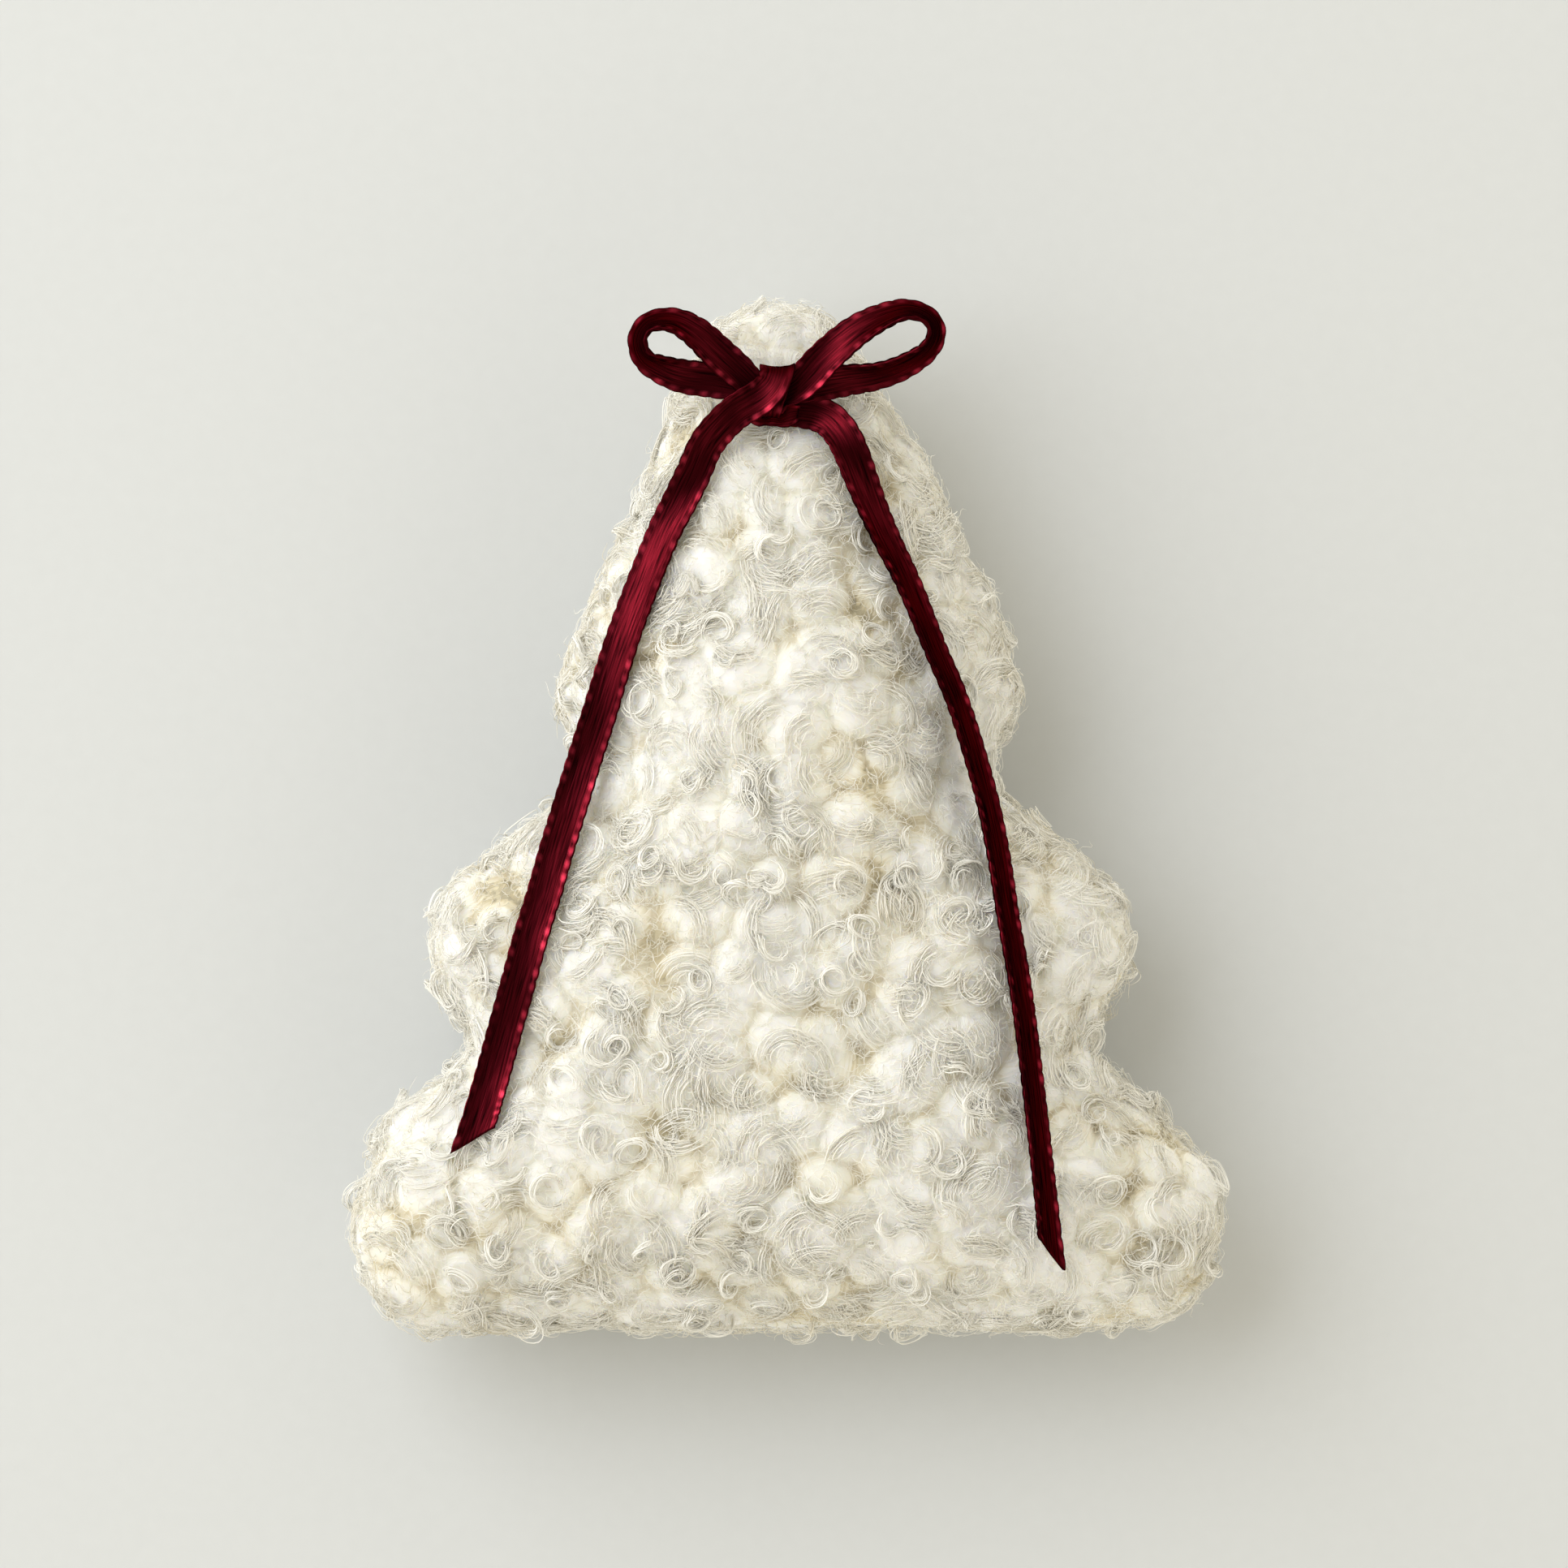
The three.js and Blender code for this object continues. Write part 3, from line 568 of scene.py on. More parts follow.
def fibre_filling():
    """Loose hollow polyester fibre: white, cloudy and fully matt."""
    wisp_size = 2 * MM
    material, tree = new_material("polyester_fibre_filling")
    wisps = add_node(tree, "ShaderNodeTexNoise", {"Scale": 1 / wisp_size, "Detail": 6.0, "Distortion": 1.5},
                     {"Vector": places_on(tree)}).outputs["Fac"]
    return finish_material(material, {"Roughness": 1.0, "Specular IOR Level": 0.1}, {
        "Base Color": coloured(tree, wisps, [(0.3, linear("#dfddd6")), (0.7, linear("#fbfaf7"))]),
        "Normal": bumped(tree, wisps, strength=0.7, depth=0.5 * MM),
    })


def table_paint(stage):
    """Smooth pale painted board: matt, with a barely visible grain."""
    grain_size = 1.5 * MM
    grain_shade = 0.985
    material, tree = new_material("pale_painted_board")
    grain = add_node(tree, "ShaderNodeTexNoise", {"Scale": 1 / grain_size, "Detail": 3.0},
                     {"Vector": places_on(tree)}).outputs["Fac"]
    return finish_material(material, {"Roughness": 0.8, "Specular IOR Level": 0.2}, {
        "Base Color": coloured(tree, grain, [(0.3, dimmed(stage.floor, grain_shade)), (0.7, stage.floor)]),
    })


# Cloth body

# Reach of a tuft, radius of a ring curl and half width of its ridge, in distances between tufts.
TUFT_REACH, RING_MIDDLE, RIDGE_WIDTH = 0.8, 0.4, 0.16
# Share of a ringed tuft's height that only its ridge has.
RIDGE_HEIGHT = 0.22
# Smallest and largest size of a tuft, in plain tufts.
TUFT_SIZES = (0.75, 1.25)
# Reach of a clump, in distances between clumps.
CLUMP_REACH = 0.85
# Roundness of tufts and clumps: less than 1 gives a flatter top with steeper sides.
DOME = 0.7
# Random places that are tried for tufts and for clumps.
TUFT_TRIES, CLUMP_TRIES = 12000, 3000
# Starts of the noise, one for each use, and how far one start is from the next.
SKIN_NOISE, LUMP_NOISE, WISP_NOISE, SPECK_NOISE, COMB_NOISE, CLOUD_NOISE = 1, 3, 4, 5, 6, 8
NOISE_SHIFT = (13.7, 5.1, 9.3)


class Body:
    """What the cloth leaves behind for the pile: its tufts and its surface."""

    tufts = None
    sizes = None
    ringed = None
    skin = None
    tree = None


def scatter(points, quads, count, rng):
    """Random places on the skin, evenly spread by area."""
    a, b, c, d = (points[quads[:, i]] for i in range(4))
    area = np.linalg.norm(np.cross(c - a, d - b), axis=1)
    picked = rng.choice(len(quads), size=count, p=area / area.sum())
    s, t = rng.random((2, count, 1))
    return (a[picked] * (1 - s) + b[picked] * s) * (1 - t) + (d[picked] * (1 - s) + c[picked] * s) * t


def spaced(points, spacing):
    """The first of the points, in order, that keep their distance from all kept before."""
    kept = []
    held = np.empty((0, 3))
    for i, point in enumerate(points):
        if not len(held) or ((held - point) ** 2).sum(1).min() > spacing ** 2:
            kept.append(i)
            held = np.vstack([held, point])
    return np.array(kept)


def clumps(points, centres, radius):
    """Rounded clumps, 1 at their tops and 0 in the gaps between."""
    height = np.zeros(len(points))
    for centre in centres:
        gap = ((points - centre) ** 2).sum(1) / radius ** 2
        height = np.maximum(height, np.clip(1 - gap, 0, 1))
    return height ** DOME


def tuft_relief(points, pile):
    """Tuft height at each point, in plain tufts, the tuft that it belongs to, and how far it is from that."""
    relief = np.zeros(len(points))
    owner = np.zeros(len(points), int)
    nearest = np.full(len(points), np.inf)
    away = np.zeros(len(points))
    for number, (centre, size, ring) in enumerate(zip(Body.tufts, Body.sizes, Body.ringed)):
        reach = TUFT_REACH * pile.tuft_spacing * size
        gap = np.linalg.norm(points - centre, axis=1)
        share = gap / reach
        dome = np.clip(1 - share ** 2, 0, 1) ** DOME * size
        if ring:
            ridge = np.exp(-((gap - ring_radius(pile, size)) / (RIDGE_WIDTH * pile.tuft_spacing)) ** 2)
            dome = dome * (1 - RIDGE_HEIGHT + RIDGE_HEIGHT * ridge)
        relief = np.maximum(relief, dome)
        mine = share < nearest
        owner[mine] = number
        away[mine] = gap[mine]
        nearest[mine] = share[mine]
    return relief, owner, away


def ring_radius(pile, size):
    """Radius of a ring curl's middle line."""
    return RING_MIDDLE * pile.tuft_spacing * size


def rough(points, grain, start):
    """Smooth noise from -1 to 1 with features of that size."""
    shift = Vector([start * part for part in NOISE_SHIFT])
    return np.array([noise.noise(Vector(p) / grain + shift) for p in points.tolist()])


def cloudy(points):
    """Wide clouds of lighter and darker pile."""
    strength, size = 0.3, 8 * MM
    return strength * rough(points, size, CLOUD_NOISE)


def filled_out(points, quads, pile):
    """The skin after the filling has pushed it out: cloth under pressure, held at the seam, where it lies on
    the table and where the bow is tacked on."""
    enlarge = 20  # the solver is made for garments, so the small body is blown up for it
    frames = 20
    by_seam, by_table, by_bow = 1.5 * MM, 0.8 * MM, 5 * MM
    from_bow = np.linalg.norm(points - np.array(KNOT), axis=1)
    held = (np.abs(points[:, 2] - SEAM_Z) < by_seam) | (points[:, 2] < by_table) | (from_bow < by_bow)
    pad = bpy.data.objects.new("pad", mesh_from("pad", points * enlarge, quads))
    scene = bpy.context.scene
    scene.collection.objects.link(pad)
    pad.vertex_groups.new(name="held").add(np.flatnonzero(held).tolist(), 1.0, "REPLACE")
    cloth = pad.modifiers.new("Filling", "CLOTH")
    cloth.settings.vertex_group_mass = "held"
    cloth.settings.use_pressure = True
    cloth.settings.uniform_pressure_force = pile.pressure
    cloth.settings.effector_weights.gravity = 0
    cloth.point_cache.frame_start = 1
    cloth.point_cache.frame_end = frames
    for number in range(1, frames + 1):
        scene.frame_set(number)
    pushed = points_of(pad.evaluated_get(bpy.context.evaluated_depsgraph_get()).data) / enlarge
    scene.frame_set(1)
    mesh = pad.data
    bpy.data.objects.remove(pad)
    bpy.data.meshes.remove(mesh)
    move = pushed - points
    far = np.linalg.norm(move, axis=1, keepdims=True)
    return points + move * np.minimum(1, pile.swell / np.maximum(far, TINY))


def blown_skin(pile):
    """Places, normals and faces of the filled skin, and how far each place stands above an evened one."""
    first_evening, last_evening = 2, 120
    solids = ["front_panel", "back_panel", "stuffing"]
    points, quads = remeshed("skin", solids, pile.pad_grain, first_evening)
    points = filled_out(points, quads, pile)
    skin = modified(mesh_from("skin", points, quads), [("SUBSURF", {"levels": 2})])
    points, normals, quads = points_of(skin), normals_of(skin), quads_of(skin)
    plain = modified(skin, [evened(last_evening)])
    stand = ((points - points_of(plain)) * normals).sum(1)
    bpy.data.meshes.remove(plain)
    return points, normals, quads, stand


def pile_tone(points, tuft, clump, stand, on_front, from_seam):
    """Tone of the cloth from 0, deep in a gap, to 1, on a tuft, which paints shade into the gaps and light
    onto the tops:
    cloudy, and paler near the seam as painted light on the steep edges. The front's solid has clumps of its
    own, so what stands out of it counts there in place of half a clump."""
    # deep, by_tuft and by_clump paint shade into the gaps and light onto the tops, by_seam paints light near
    # the seam, by_speck is random.
    deep, by_tuft, by_clump, by_speck, by_seam = 0.1, 0.6, 0.35, 0.12, 0.2
    speck_size = 3 * MM
    own_share, own_level, own_height = 0.5, 0.25, 1.2 * MM
    own_clump = np.clip(own_level + stand / own_height, 0, own_share)
    clump = clump * (1 - own_share * on_front) + on_front * own_clump
    specks = rough(points, speck_size, SPECK_NOISE)
    tone = np.clip(deep + by_tuft * tuft + by_clump * clump + by_speck * specks, 0, 1)
    return np.clip(tone + cloudy(points) + by_seam * (1 - from_seam), 0, 1)


def sew_cloth(settings):
    """Front and back panels, each a closed shell with tufted outside, met at the seam."""
    front_edge, seam_pinch = 3 * MM, 2.5 * MM
    grit, grit_size = 0.15 * MM, 1.2 * MM
    seam_height = 0.75
    outside_clearance, inside_clearance = 0.05 * MM, 0.6 * MM
    pile = settings.pile
    rng = np.random.default_rng(pile.seed)
    points, normals, quads, stand = blown_skin(pile)
    where = scatter(points, quads, TUFT_TRIES, rng)
    Body.tufts = where[spaced(where, pile.tuft_spacing)]
    Body.sizes = rng.uniform(*TUFT_SIZES, len(Body.tufts))
    Body.ringed = rng.random(len(Body.tufts)) < pile.ring_share
    where = scatter(points, quads, CLUMP_TRIES, rng)
    centres = where[spaced(where, pile.clump_spacing)]
    tuft, owner, away = tuft_relief(points, pile)
    clump = clumps(points, centres, CLUMP_REACH * pile.clump_spacing)
    on_front = smoothstep(0, front_edge, points[:, 2] - SEAM_Z)
    from_seam = smoothstep(0, seam_pinch, np.abs(points[:, 2] - SEAM_Z))
    most = pile.clump_height + (pile.front_clump_height - pile.clump_height) * on_front
    height = pile.tuft_height * tuft + most * clump
    height += grit * rough(points, grit_size, SKIN_NOISE)
    most += pile.tuft_height
    sunk = most - height * (seam_height + (1 - seam_height) * from_seam)
    outside = points - normals * sunk[:, None]
    inside = points - normals * (most + pile.cloth_thickness)[:, None]
    outside[:, 2] = np.maximum(outside[:, 2], outside_clearance)
    inside[:, 2] = np.maximum(inside[:, 2], inside_clearance)
    tone = pile_tone(points, tuft, clump, stand, on_front, from_seam)
    comb = comb_lines(points, owner, away, rng)
    material = boucle_ground(pile)
    upper = points[quads][:, :, 2].mean(1) > SEAM_Z
    for name, node, chosen in (("front_cloth", "front_panel", upper), ("back_cloth", "back_panel", ~upper)):
        mesh, used = shell(name, outside, inside, quads[chosen])
        both = np.concatenate([used, used])
        store(mesh, "tone", tone[both])
        store(mesh, "comb", comb[both])
        cloth = link_object(name, mesh, material)
        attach(cloth, TREE)
        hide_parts(node)
    Body.skin = (outside, quads)
    Body.tree = BVHTree.FromPolygons(outside.tolist(), quads.tolist())


def comb_lines(points, owner, away, rng):
    """Places across the fibres, along them and from tuft to tuft: rings are combed round, locks straight."""
    wander, wander_size = 0.4 * MM, 2 * MM
    apart = 3.7  # from one tuft's streaks to the next one's, in units of the noise
    count = len(Body.tufts)
    aim = unit(rng.normal(size=(count, 3)))
    side = unit(np.cross(aim, rng.normal(size=(count, 3))))
    offset = points - Body.tufts[owner]
    straight = (offset * aim[owner]).sum(1) + wander * rough(points, wander_size, COMB_NOISE)
    across = np.where(Body.ringed[owner], away, straight)
    return np.stack([across, (offset * side[owner]).sum(1), owner * apart], 1)


def shell(name, outside, inside, quads):
    """A closed shell between two layers of the same faces."""
    used, number = np.unique(quads, return_inverse=True)
    face = number.reshape(-1, 4)
    count = len(used)
    edges = np.concatenate([face[:, [i, (i + 1) % 4]] for i in range(4)])
    key = np.sort(edges, axis=1)
    _, first, times = np.unique(key, axis=0, return_index=True, return_counts=True)
    rim = edges[first[times == 1]]
    walls = np.stack([rim[:, 1], rim[:, 0], rim[:, 0] + count, rim[:, 1] + count], 1)
    points = np.concatenate([outside[used], inside[used]])
    return mesh_from(name, points, np.concatenate([face, face[:, ::-1] + count, walls])), used


def fill_body():
    """The lump of loose fibre inside the cloth."""
    grain, evening = 1.6 * MM, 4
    depth = 1.6 * MM
    lump, lump_size = 0.8 * MM, 5 * MM
    wisp, wisp_size = 0.4 * MM, 2.2 * MM
    points, quads = remeshed("filling", ["stuffing"], grain, evening)
    skin = mesh_from("filling", points, quads)
    normals = normals_of(skin)
    sunk = depth + lump * rough(points, lump_size, LUMP_NOISE) + wisp * rough(points, wisp_size, WISP_NOISE)
    skin.vertices.foreach_set("co", (points - normals * sunk[:, None]).astype(np.float32).ravel())
    filling = link_object("fibre_filling", skin, fibre_filling())
    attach(filling, TREE)
    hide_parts("stuffing")


# Pile

# Rows of points along a fibre of each kind, and points in a row.
RING_STEPS, LOCK_STEPS, LOOSE_STEPS = 19, 9, 8
SIDES = 3
# Places along a fibre, and the share of its thickness there.
TAPER_AT, TAPER = (0, 0.1, 0.75, 1), (0.7, 1, 1, 0.35)
# Least distance of a fibre's middle from the cloth and from the table.
CLOTH_CLEARANCE, TABLE_CLEARANCE = 0.06 * MM, 0.12 * MM
# Most triangles of fibre in one piece.
PIECE_TRIANGLES = 180000


def tangent_frames(normals, rng):
    """Two directions across each normal, turned at random."""
    aside = unit(np.cross(normals, unit(rng.normal(size=normals.shape))))
    return aside, np.cross(normals, aside)


def settle(paths, free):
    """Lifts the free points of the paths clear of the cloth."""
    flat = paths.reshape(-1, 3)
    for i, point in enumerate(flat.tolist()):
        if free.flat[i]:
            near, normal, _, _ = Body.tree.find_nearest(point)
            if (Vector(point) - near).dot(normal) < CLOTH_CLEARANCE:
                flat[i] = near + normal * CLOTH_CLEARANCE
    return flat.reshape(paths.shape)


def press_under(paths, routes, width):
    """Presses pile that lies under the ribbon down below it, and all of it up from the table."""
    every = 5
    below = 0.3 * MM
    margin, margin_rise = 0.9 * MM, 2 * MM
    flat = paths.reshape(-1, 3)
    for centre, lean, _, _ in routes:
        centre, lean = centre[::every], lean[::every]
        near = ((flat[:, None, :2] - centre[None, :, :2]) ** 2).sum(2)
        closest = near.argmin(1)
        gap = np.sqrt(near.min(1))
        along = unit(np.gradient(centre, axis=0))[closest]
        offset = flat - centre[closest]
        aside = np.clip(offset[:, 1] * along[:, 0] - offset[:, 0] * along[:, 1], -width / 2, width / 2)
        under = centre[closest][:, 2] + aside * np.tan(lean[closest]) - below
        ceiling = under + margin_rise * smoothstep(width / 2, width / 2 + margin, gap)
        flat[:, 2] = np.where(gap < width / 2 + margin, np.minimum(flat[:, 2], ceiling), flat[:, 2])
    flat[:, 2] = np.maximum(flat[:, 2], TABLE_CLEARANCE)
    return flat.reshape(paths.shape)


def tubes(name, paths, axis, radius, tone, material):
    """Closed three-sided fibres along the paths, each with its own patch of the map."""
    count, steps, _ = paths.shape
    along = unit(np.gradient(paths, axis=1))
    side = unit(np.cross(axis[:, None, :], along))
    up = np.cross(along, side)
    taper = radius[:, None] * np.interp(np.linspace(0, 1, steps), TAPER_AT, TAPER)
    turn = np.arange(SIDES) * (2 * math.pi / SIDES)
    ring = side[:, :, None] * np.cos(turn)[:, None] + up[:, :, None] * np.sin(turn)[:, None]
    points = paths[:, :, None] + ring * taper[:, :, None, None]
    index = np.arange(count * steps * SIDES).reshape(count, steps, SIDES)
    near, far = index[:, :-1], index[:, 1:]
    turned = np.roll(near, -1, axis=2)
    quads = np.stack([near, turned, np.roll(far, -1, axis=2), far], -1).reshape(-1, 4)
    caps = np.concatenate([index[:, 0, ::-1], index[:, -1]])
    mesh = mesh_from(name, points.reshape(-1, 3), quads, caps)
    store(mesh, "tone", np.repeat(tone.reshape(-1), SIDES))
    fibre_map(mesh, count, steps)
    made = link_object(name, mesh, material)
    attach(made, TREE)


def fibre_map(mesh, count, steps):
    """A texture map with one small cell for each fibre."""
    low, high = 0.08, 0.92
    cap = 0.1
    across = math.ceil(math.sqrt(count))
    cell = np.stack(np.divmod(np.arange(count), across), 1)[:, ::-1].astype(float)
    s = np.linspace(low, high, steps)
    t = np.linspace(low, high, SIDES + 1)
    corner = np.stack(np.broadcast_arrays(s[:, None], t[None, :]), -1)
    quad = np.stack([corner[:-1, :-1], corner[:-1, 1:], corner[1:, 1:], corner[1:, :-1]], 2)
    sides = (cell[:, None, None, None] + quad[None]).reshape(-1, 2)
    end = np.array([[low, low], [cap, low], [low, cap]])
    caps = np.concatenate([(cell[:, None] + end).reshape(-1, 2), (cell[:, None] + 1 - end).reshape(-1, 2)])
    layer = mesh.uv_layers.new(name="OFBake", do_init=False)
    layer.uv.foreach_set("vector", (np.concatenate([sides, caps]) / across).astype(np.float32).ravel())


def laid_out(middles, directions, offsets):
    """Paths around the middles, with offsets along three directions."""
    paths = middles[:, None]
    for direction, offset in zip(directions, offsets):
        paths = paths + direction[:, None] * offset[..., None]
    return paths


def phases(rng, count):
    """Where in its wave each fibre starts (rad)."""
    latest = 6
    return rng.uniform(0, latest, (count, 1))


def mottled(rng, tone, count, spread):
    """That tone along every fibre, a little lighter or darker from one to the next."""
    return np.clip(tone + rng.normal(0, spread, (count, 1)), 0, 1)


def ring_curls(pile, rng, centres, normals, radius):
    """Ring curls: bundles of fibres that leave the cloth and turn in on themselves."""
    rounds = [0.4, 0.55, 0.7, 1.0]  # of a full turn
    round_range, tighten_range, oval_range, thick_range = (0.85, 1.15), (0, 0.4), (0.6, 1.1), (0.7, 1.2)
    tilt_spread, start_spread, round_spread, middle_spread = 0.4, 0.3, 0.12, 0.1 * MM
    width, width_spread, kink, kinks = 1.05, 0.13, 0.06, 3
    rise_mean, rise_spread, climb_mean, climb_spread = 0.1, 0.16, 0.1, 0.2  # mm
    root_depth, root_run = 1.2 * MM, 0.16
    end_depth, end_from, end_run = 0.5 * MM, 0.85, 0.15
    # Tone rises from root to tip: painted shade deep in the pile, painted light at the tips; its spread is
    # random.
    shaded_root_tone, tone_gain, tone_run, tone_spread = 0.5, 0.45, 0.3, 0.1
    free_from, free_to = 0.14, 0.93
    t = np.linspace(0, 1, RING_STEPS)
    curls = len(centres)
    across, over = tangent_frames(normals, rng)
    tilt = rng.normal(0, tilt_spread, (curls, 2))
    axis = unit(normals + across * tilt[:, :1] + over * tilt[:, 1:])
    across = unit(np.cross(over, axis))
    over = np.cross(axis, across)
    sweep = rng.choice(rounds, curls) * rng.uniform(*round_range, curls) * rng.choice([-1, 1], curls)
    tighten = rng.uniform(*tighten_range, curls)
    start = rng.uniform(0, 2 * math.pi, curls)
    bundle = np.repeat(np.arange(curls), pile.ring_fibres)
    total = len(bundle)
    turn = (start[bundle] + rng.normal(0, start_spread, total))[:, None]
    turn = turn + 2 * math.pi * (sweep[bundle] + rng.normal(0, round_spread, total))[:, None] * t
    wide = (radius[bundle] * (width + rng.normal(0, width_spread, total)))[:, None]
    wide = wide * (1 - tighten[bundle][:, None] * t)
    wide = wide * (1 + kink * np.sin(kinks * turn + phases(rng, total)))
    rise = rng.normal(rise_mean, rise_spread, total)[:, None] * MM
    rise = rise + rng.normal(climb_mean, climb_spread, total)[:, None] * MM * t
    rise = rise - root_depth * np.clip(1 - t / root_run, 0, 1) ** 2
    rise = rise - end_depth * np.clip((t - end_from) / end_run, 0, 1) ** 2
    middles = centres[bundle] + rng.normal(0, middle_spread, (total, 3))
    oval = rng.uniform(*oval_range, curls)[bundle][:, None]
    paths = laid_out(middles, (across[bundle], over[bundle], axis[bundle]),
                     (wide * oval * np.cos(turn), wide * np.sin(turn), rise))
    thick = pile.fibre_diameter / 2 * rng.uniform(*thick_range, total)
    tone = mottled(rng, shaded_root_tone + tone_gain * smoothstep(0, tone_run, t), total, tone_spread)
    free = np.broadcast_to((t > free_from) & (t < free_to), (total, RING_STEPS))
    return paths, axis[bundle], thick, tone, free


def combed_locks(pile, rng, centres, normals, width):
    """Locks: fibres side by side along one bend, with both ends in the cloth."""
    bend_range, tightest_bend = (1.6 * MM, 4.5 * MM), 0.5 * MM
    length_range, length_share = (3.2 * MM, 5.5 * MM), (0.7, 1.15)
    lift_range, thick_range = (-0.1, 0.3), (0.6, 1.0)
    turn_spread, wave, waves, end_depth = 0.12, 0.1 * MM, 8, 0.7 * MM
    # Tone is lowest at both ends, where the lock dives into the cloth: painted shade there, painted light on
    # the arch.
    shaded_end_tone, tone_gain, tone_spread = 0.36, 0.4, 0.14
    free_from, free_to = 0.1, 0.9
    t = np.linspace(0, 1, LOCK_STEPS)
    bundle = np.repeat(np.arange(len(centres)), pile.lock_fibres)
    total = len(bundle)
    across, over = tangent_frames(normals, rng)
    bend = rng.uniform(*bend_range, len(centres))[bundle]
    length = rng.uniform(*length_range, len(centres))[bundle] * rng.uniform(*length_share, total)
    beside = rng.uniform(-0.5, 0.5, total) * width[bundle]
    radius = np.maximum(bend + beside, tightest_bend)
    turn = (t - 0.5)[None] * (length / bend)[:, None] + rng.normal(0, turn_spread, (total, 1))
    swept = radius[:, None] + wave * np.sin(t * waves + phases(rng, total))
    arch = np.sin(math.pi * t) ** 0.5
    lift = rng.uniform(*lift_range, total)[:, None] * MM * arch - end_depth * (1 - arch) ** 2
    paths = laid_out(centres[bundle], (across[bundle], over[bundle], normals[bundle]),
                     (swept * np.sin(turn), swept * np.cos(turn) - bend[:, None], lift))
    thick = pile.fibre_diameter / 2 * rng.uniform(*thick_range, total)
    tone = mottled(rng, shaded_end_tone + tone_gain * arch, total, tone_spread)
    free = np.broadcast_to((t > free_from) & (t < free_to), (total, LOCK_STEPS))
    return paths, normals[bundle], thick, tone, free


def loose_fibres(pile, rng, centres, normals, stand, fine):
    """Loose wavy fibres: they leave the cloth, bend over and run along it."""
    reach, reach_range = 2.8 * MM, (0.5, 1.3)
    turn_spread, sway, sways = 3.4, 0.6, 9
    stand_range, stand_run, stand_arch = (0.1, 1), 1.1, 0.7
    root_depth, root_run = 0.8 * MM, 0.15
    thick_range = (0.7, 1.2)
    # Tone rises from root to tip: painted shade deep in the pile, painted light at the tips; its spread is
    # random.
    shaded_root_tone, tone_gain, tone_spread = 0.5, 0.4, 0.15
    free_from = 0.12
    t = np.linspace(0, 1, LOOSE_STEPS)
    total = len(centres)
    across, over = tangent_frames(normals, rng)
    length = reach * rng.uniform(*reach_range, total)
    angle = rng.normal(0, turn_spread, total)[:, None] * t + sway * np.sin(t * sways + phases(rng, total))
    stride = (length / (LOOSE_STEPS - 1))[:, None]
    run = np.cumsum(np.cos(angle), 1) * stride
    swing = np.cumsum(np.sin(angle), 1) * stride
    arch = np.sin(math.pi * np.clip(t * stand_run, 0, 1)) ** stand_arch
    lift = stand * rng.uniform(*stand_range, total)[:, None] * arch
    lift = lift - root_depth * np.clip(1 - t / root_run, 0, 1)
    paths = laid_out(centres, (across, over, normals), (run, swing, lift))
    thick = pile.fibre_diameter / 2 * fine * rng.uniform(*thick_range, total)
    tone = mottled(rng, shaded_root_tone + tone_gain * t, total, tone_spread)
    free = np.broadcast_to(t > free_from, (total, LOOSE_STEPS))
    return paths, normals, thick, tone, free


def on_cloth(points, lift):
    """The points moved onto the cloth and a little off it, with the directions out of it."""
    found = [Body.tree.find_nearest(p)[:2] for p in points.tolist()]
    normals = unit(np.array([n for _, n in found]))
    return np.array([p for p, _ in found]) + normals * lift, normals


def grow_pile(settings):
    """Ring curls, locks, fuzz and stray fibres over both panels."""
    more_per_ring = 3
    small_range, width_range = (0.65, 1.15), (1.2 * MM, 3 * MM)
    ring_seat, lock_seat = 0.3 * MM, 0.15 * MM
    pile = settings.pile
    rng = np.random.default_rng(pile.seed + 1)
    routes = [ribbon_route(points) for points in (TAIL_LEFT, TAIL_RIGHT)]
    material = boucle_fibre(pile)
    rings = Body.ringed
    ringed, ring_sizes = Body.tufts[rings], Body.sizes[rings]
    small = scatter(*Body.skin, more_per_ring * len(ringed), rng)
    seats = np.concatenate([ringed, small])
    radius = ring_radius(pile, np.concatenate([ring_sizes, rng.uniform(*small_range, len(small))]))
    kinds = [("rings", ring_curls(pile, rng, *on_cloth(seats, ring_seat), radius))]
    more = scatter(*Body.skin, more_per_ring * len(ringed), rng)
    seats = np.concatenate([Body.tufts[~rings], more])
    width = rng.uniform(*width_range, len(seats))
    kinds.append(("locks", combed_locks(pile, rng, *on_cloth(seats, lock_seat), width)))
    for kind, count, seat, stand, fine in (
            ("fuzz", pile.fuzz_fibres, 0.1 * MM, 0.45 * MM, 0.6),
            ("stray", pile.stray_fibres, 0.2 * MM, 0.8 * MM, 0.55)):
        seats = scatter(*Body.skin, count, rng)
        kinds.append((kind, loose_fibres(pile, rng, *on_cloth(seats, seat), stand, fine)))
    for kind, (paths, axis, thick, tone, free) in kinds:
        paths = press_under(settle(paths, free), routes, settings.ribbon.width)
        tone = np.clip(tone + cloudy(paths.mean(1))[:, None], 0, 1)
        front = paths.mean(1)[:, 2] > SEAM_Z
        for side, here in (("front", front), ("back", ~front)):
            numbers = np.flatnonzero(here)
            triangles = len(numbers) * paths.shape[1] * SIDES * 2
            parts = max(1, math.ceil(triangles / PIECE_TRIANGLES))
            for part, group in enumerate(np.array_split(numbers, parts)):
                name = f"{side}_{kind}_{part + 1}"
                tubes(name, paths[group], axis[group], thick[group], tone[group], material)


# Ribbon

# Length of one row of faces, and points across the ribbon's face.
ROW_STEP = 0.24 * MM
COLUMNS = 15
# Slants of the cut ends, measured along the ribbon.
CUT_LEFT, CUT_RIGHT = -3.4 * MM, 4.2 * MM


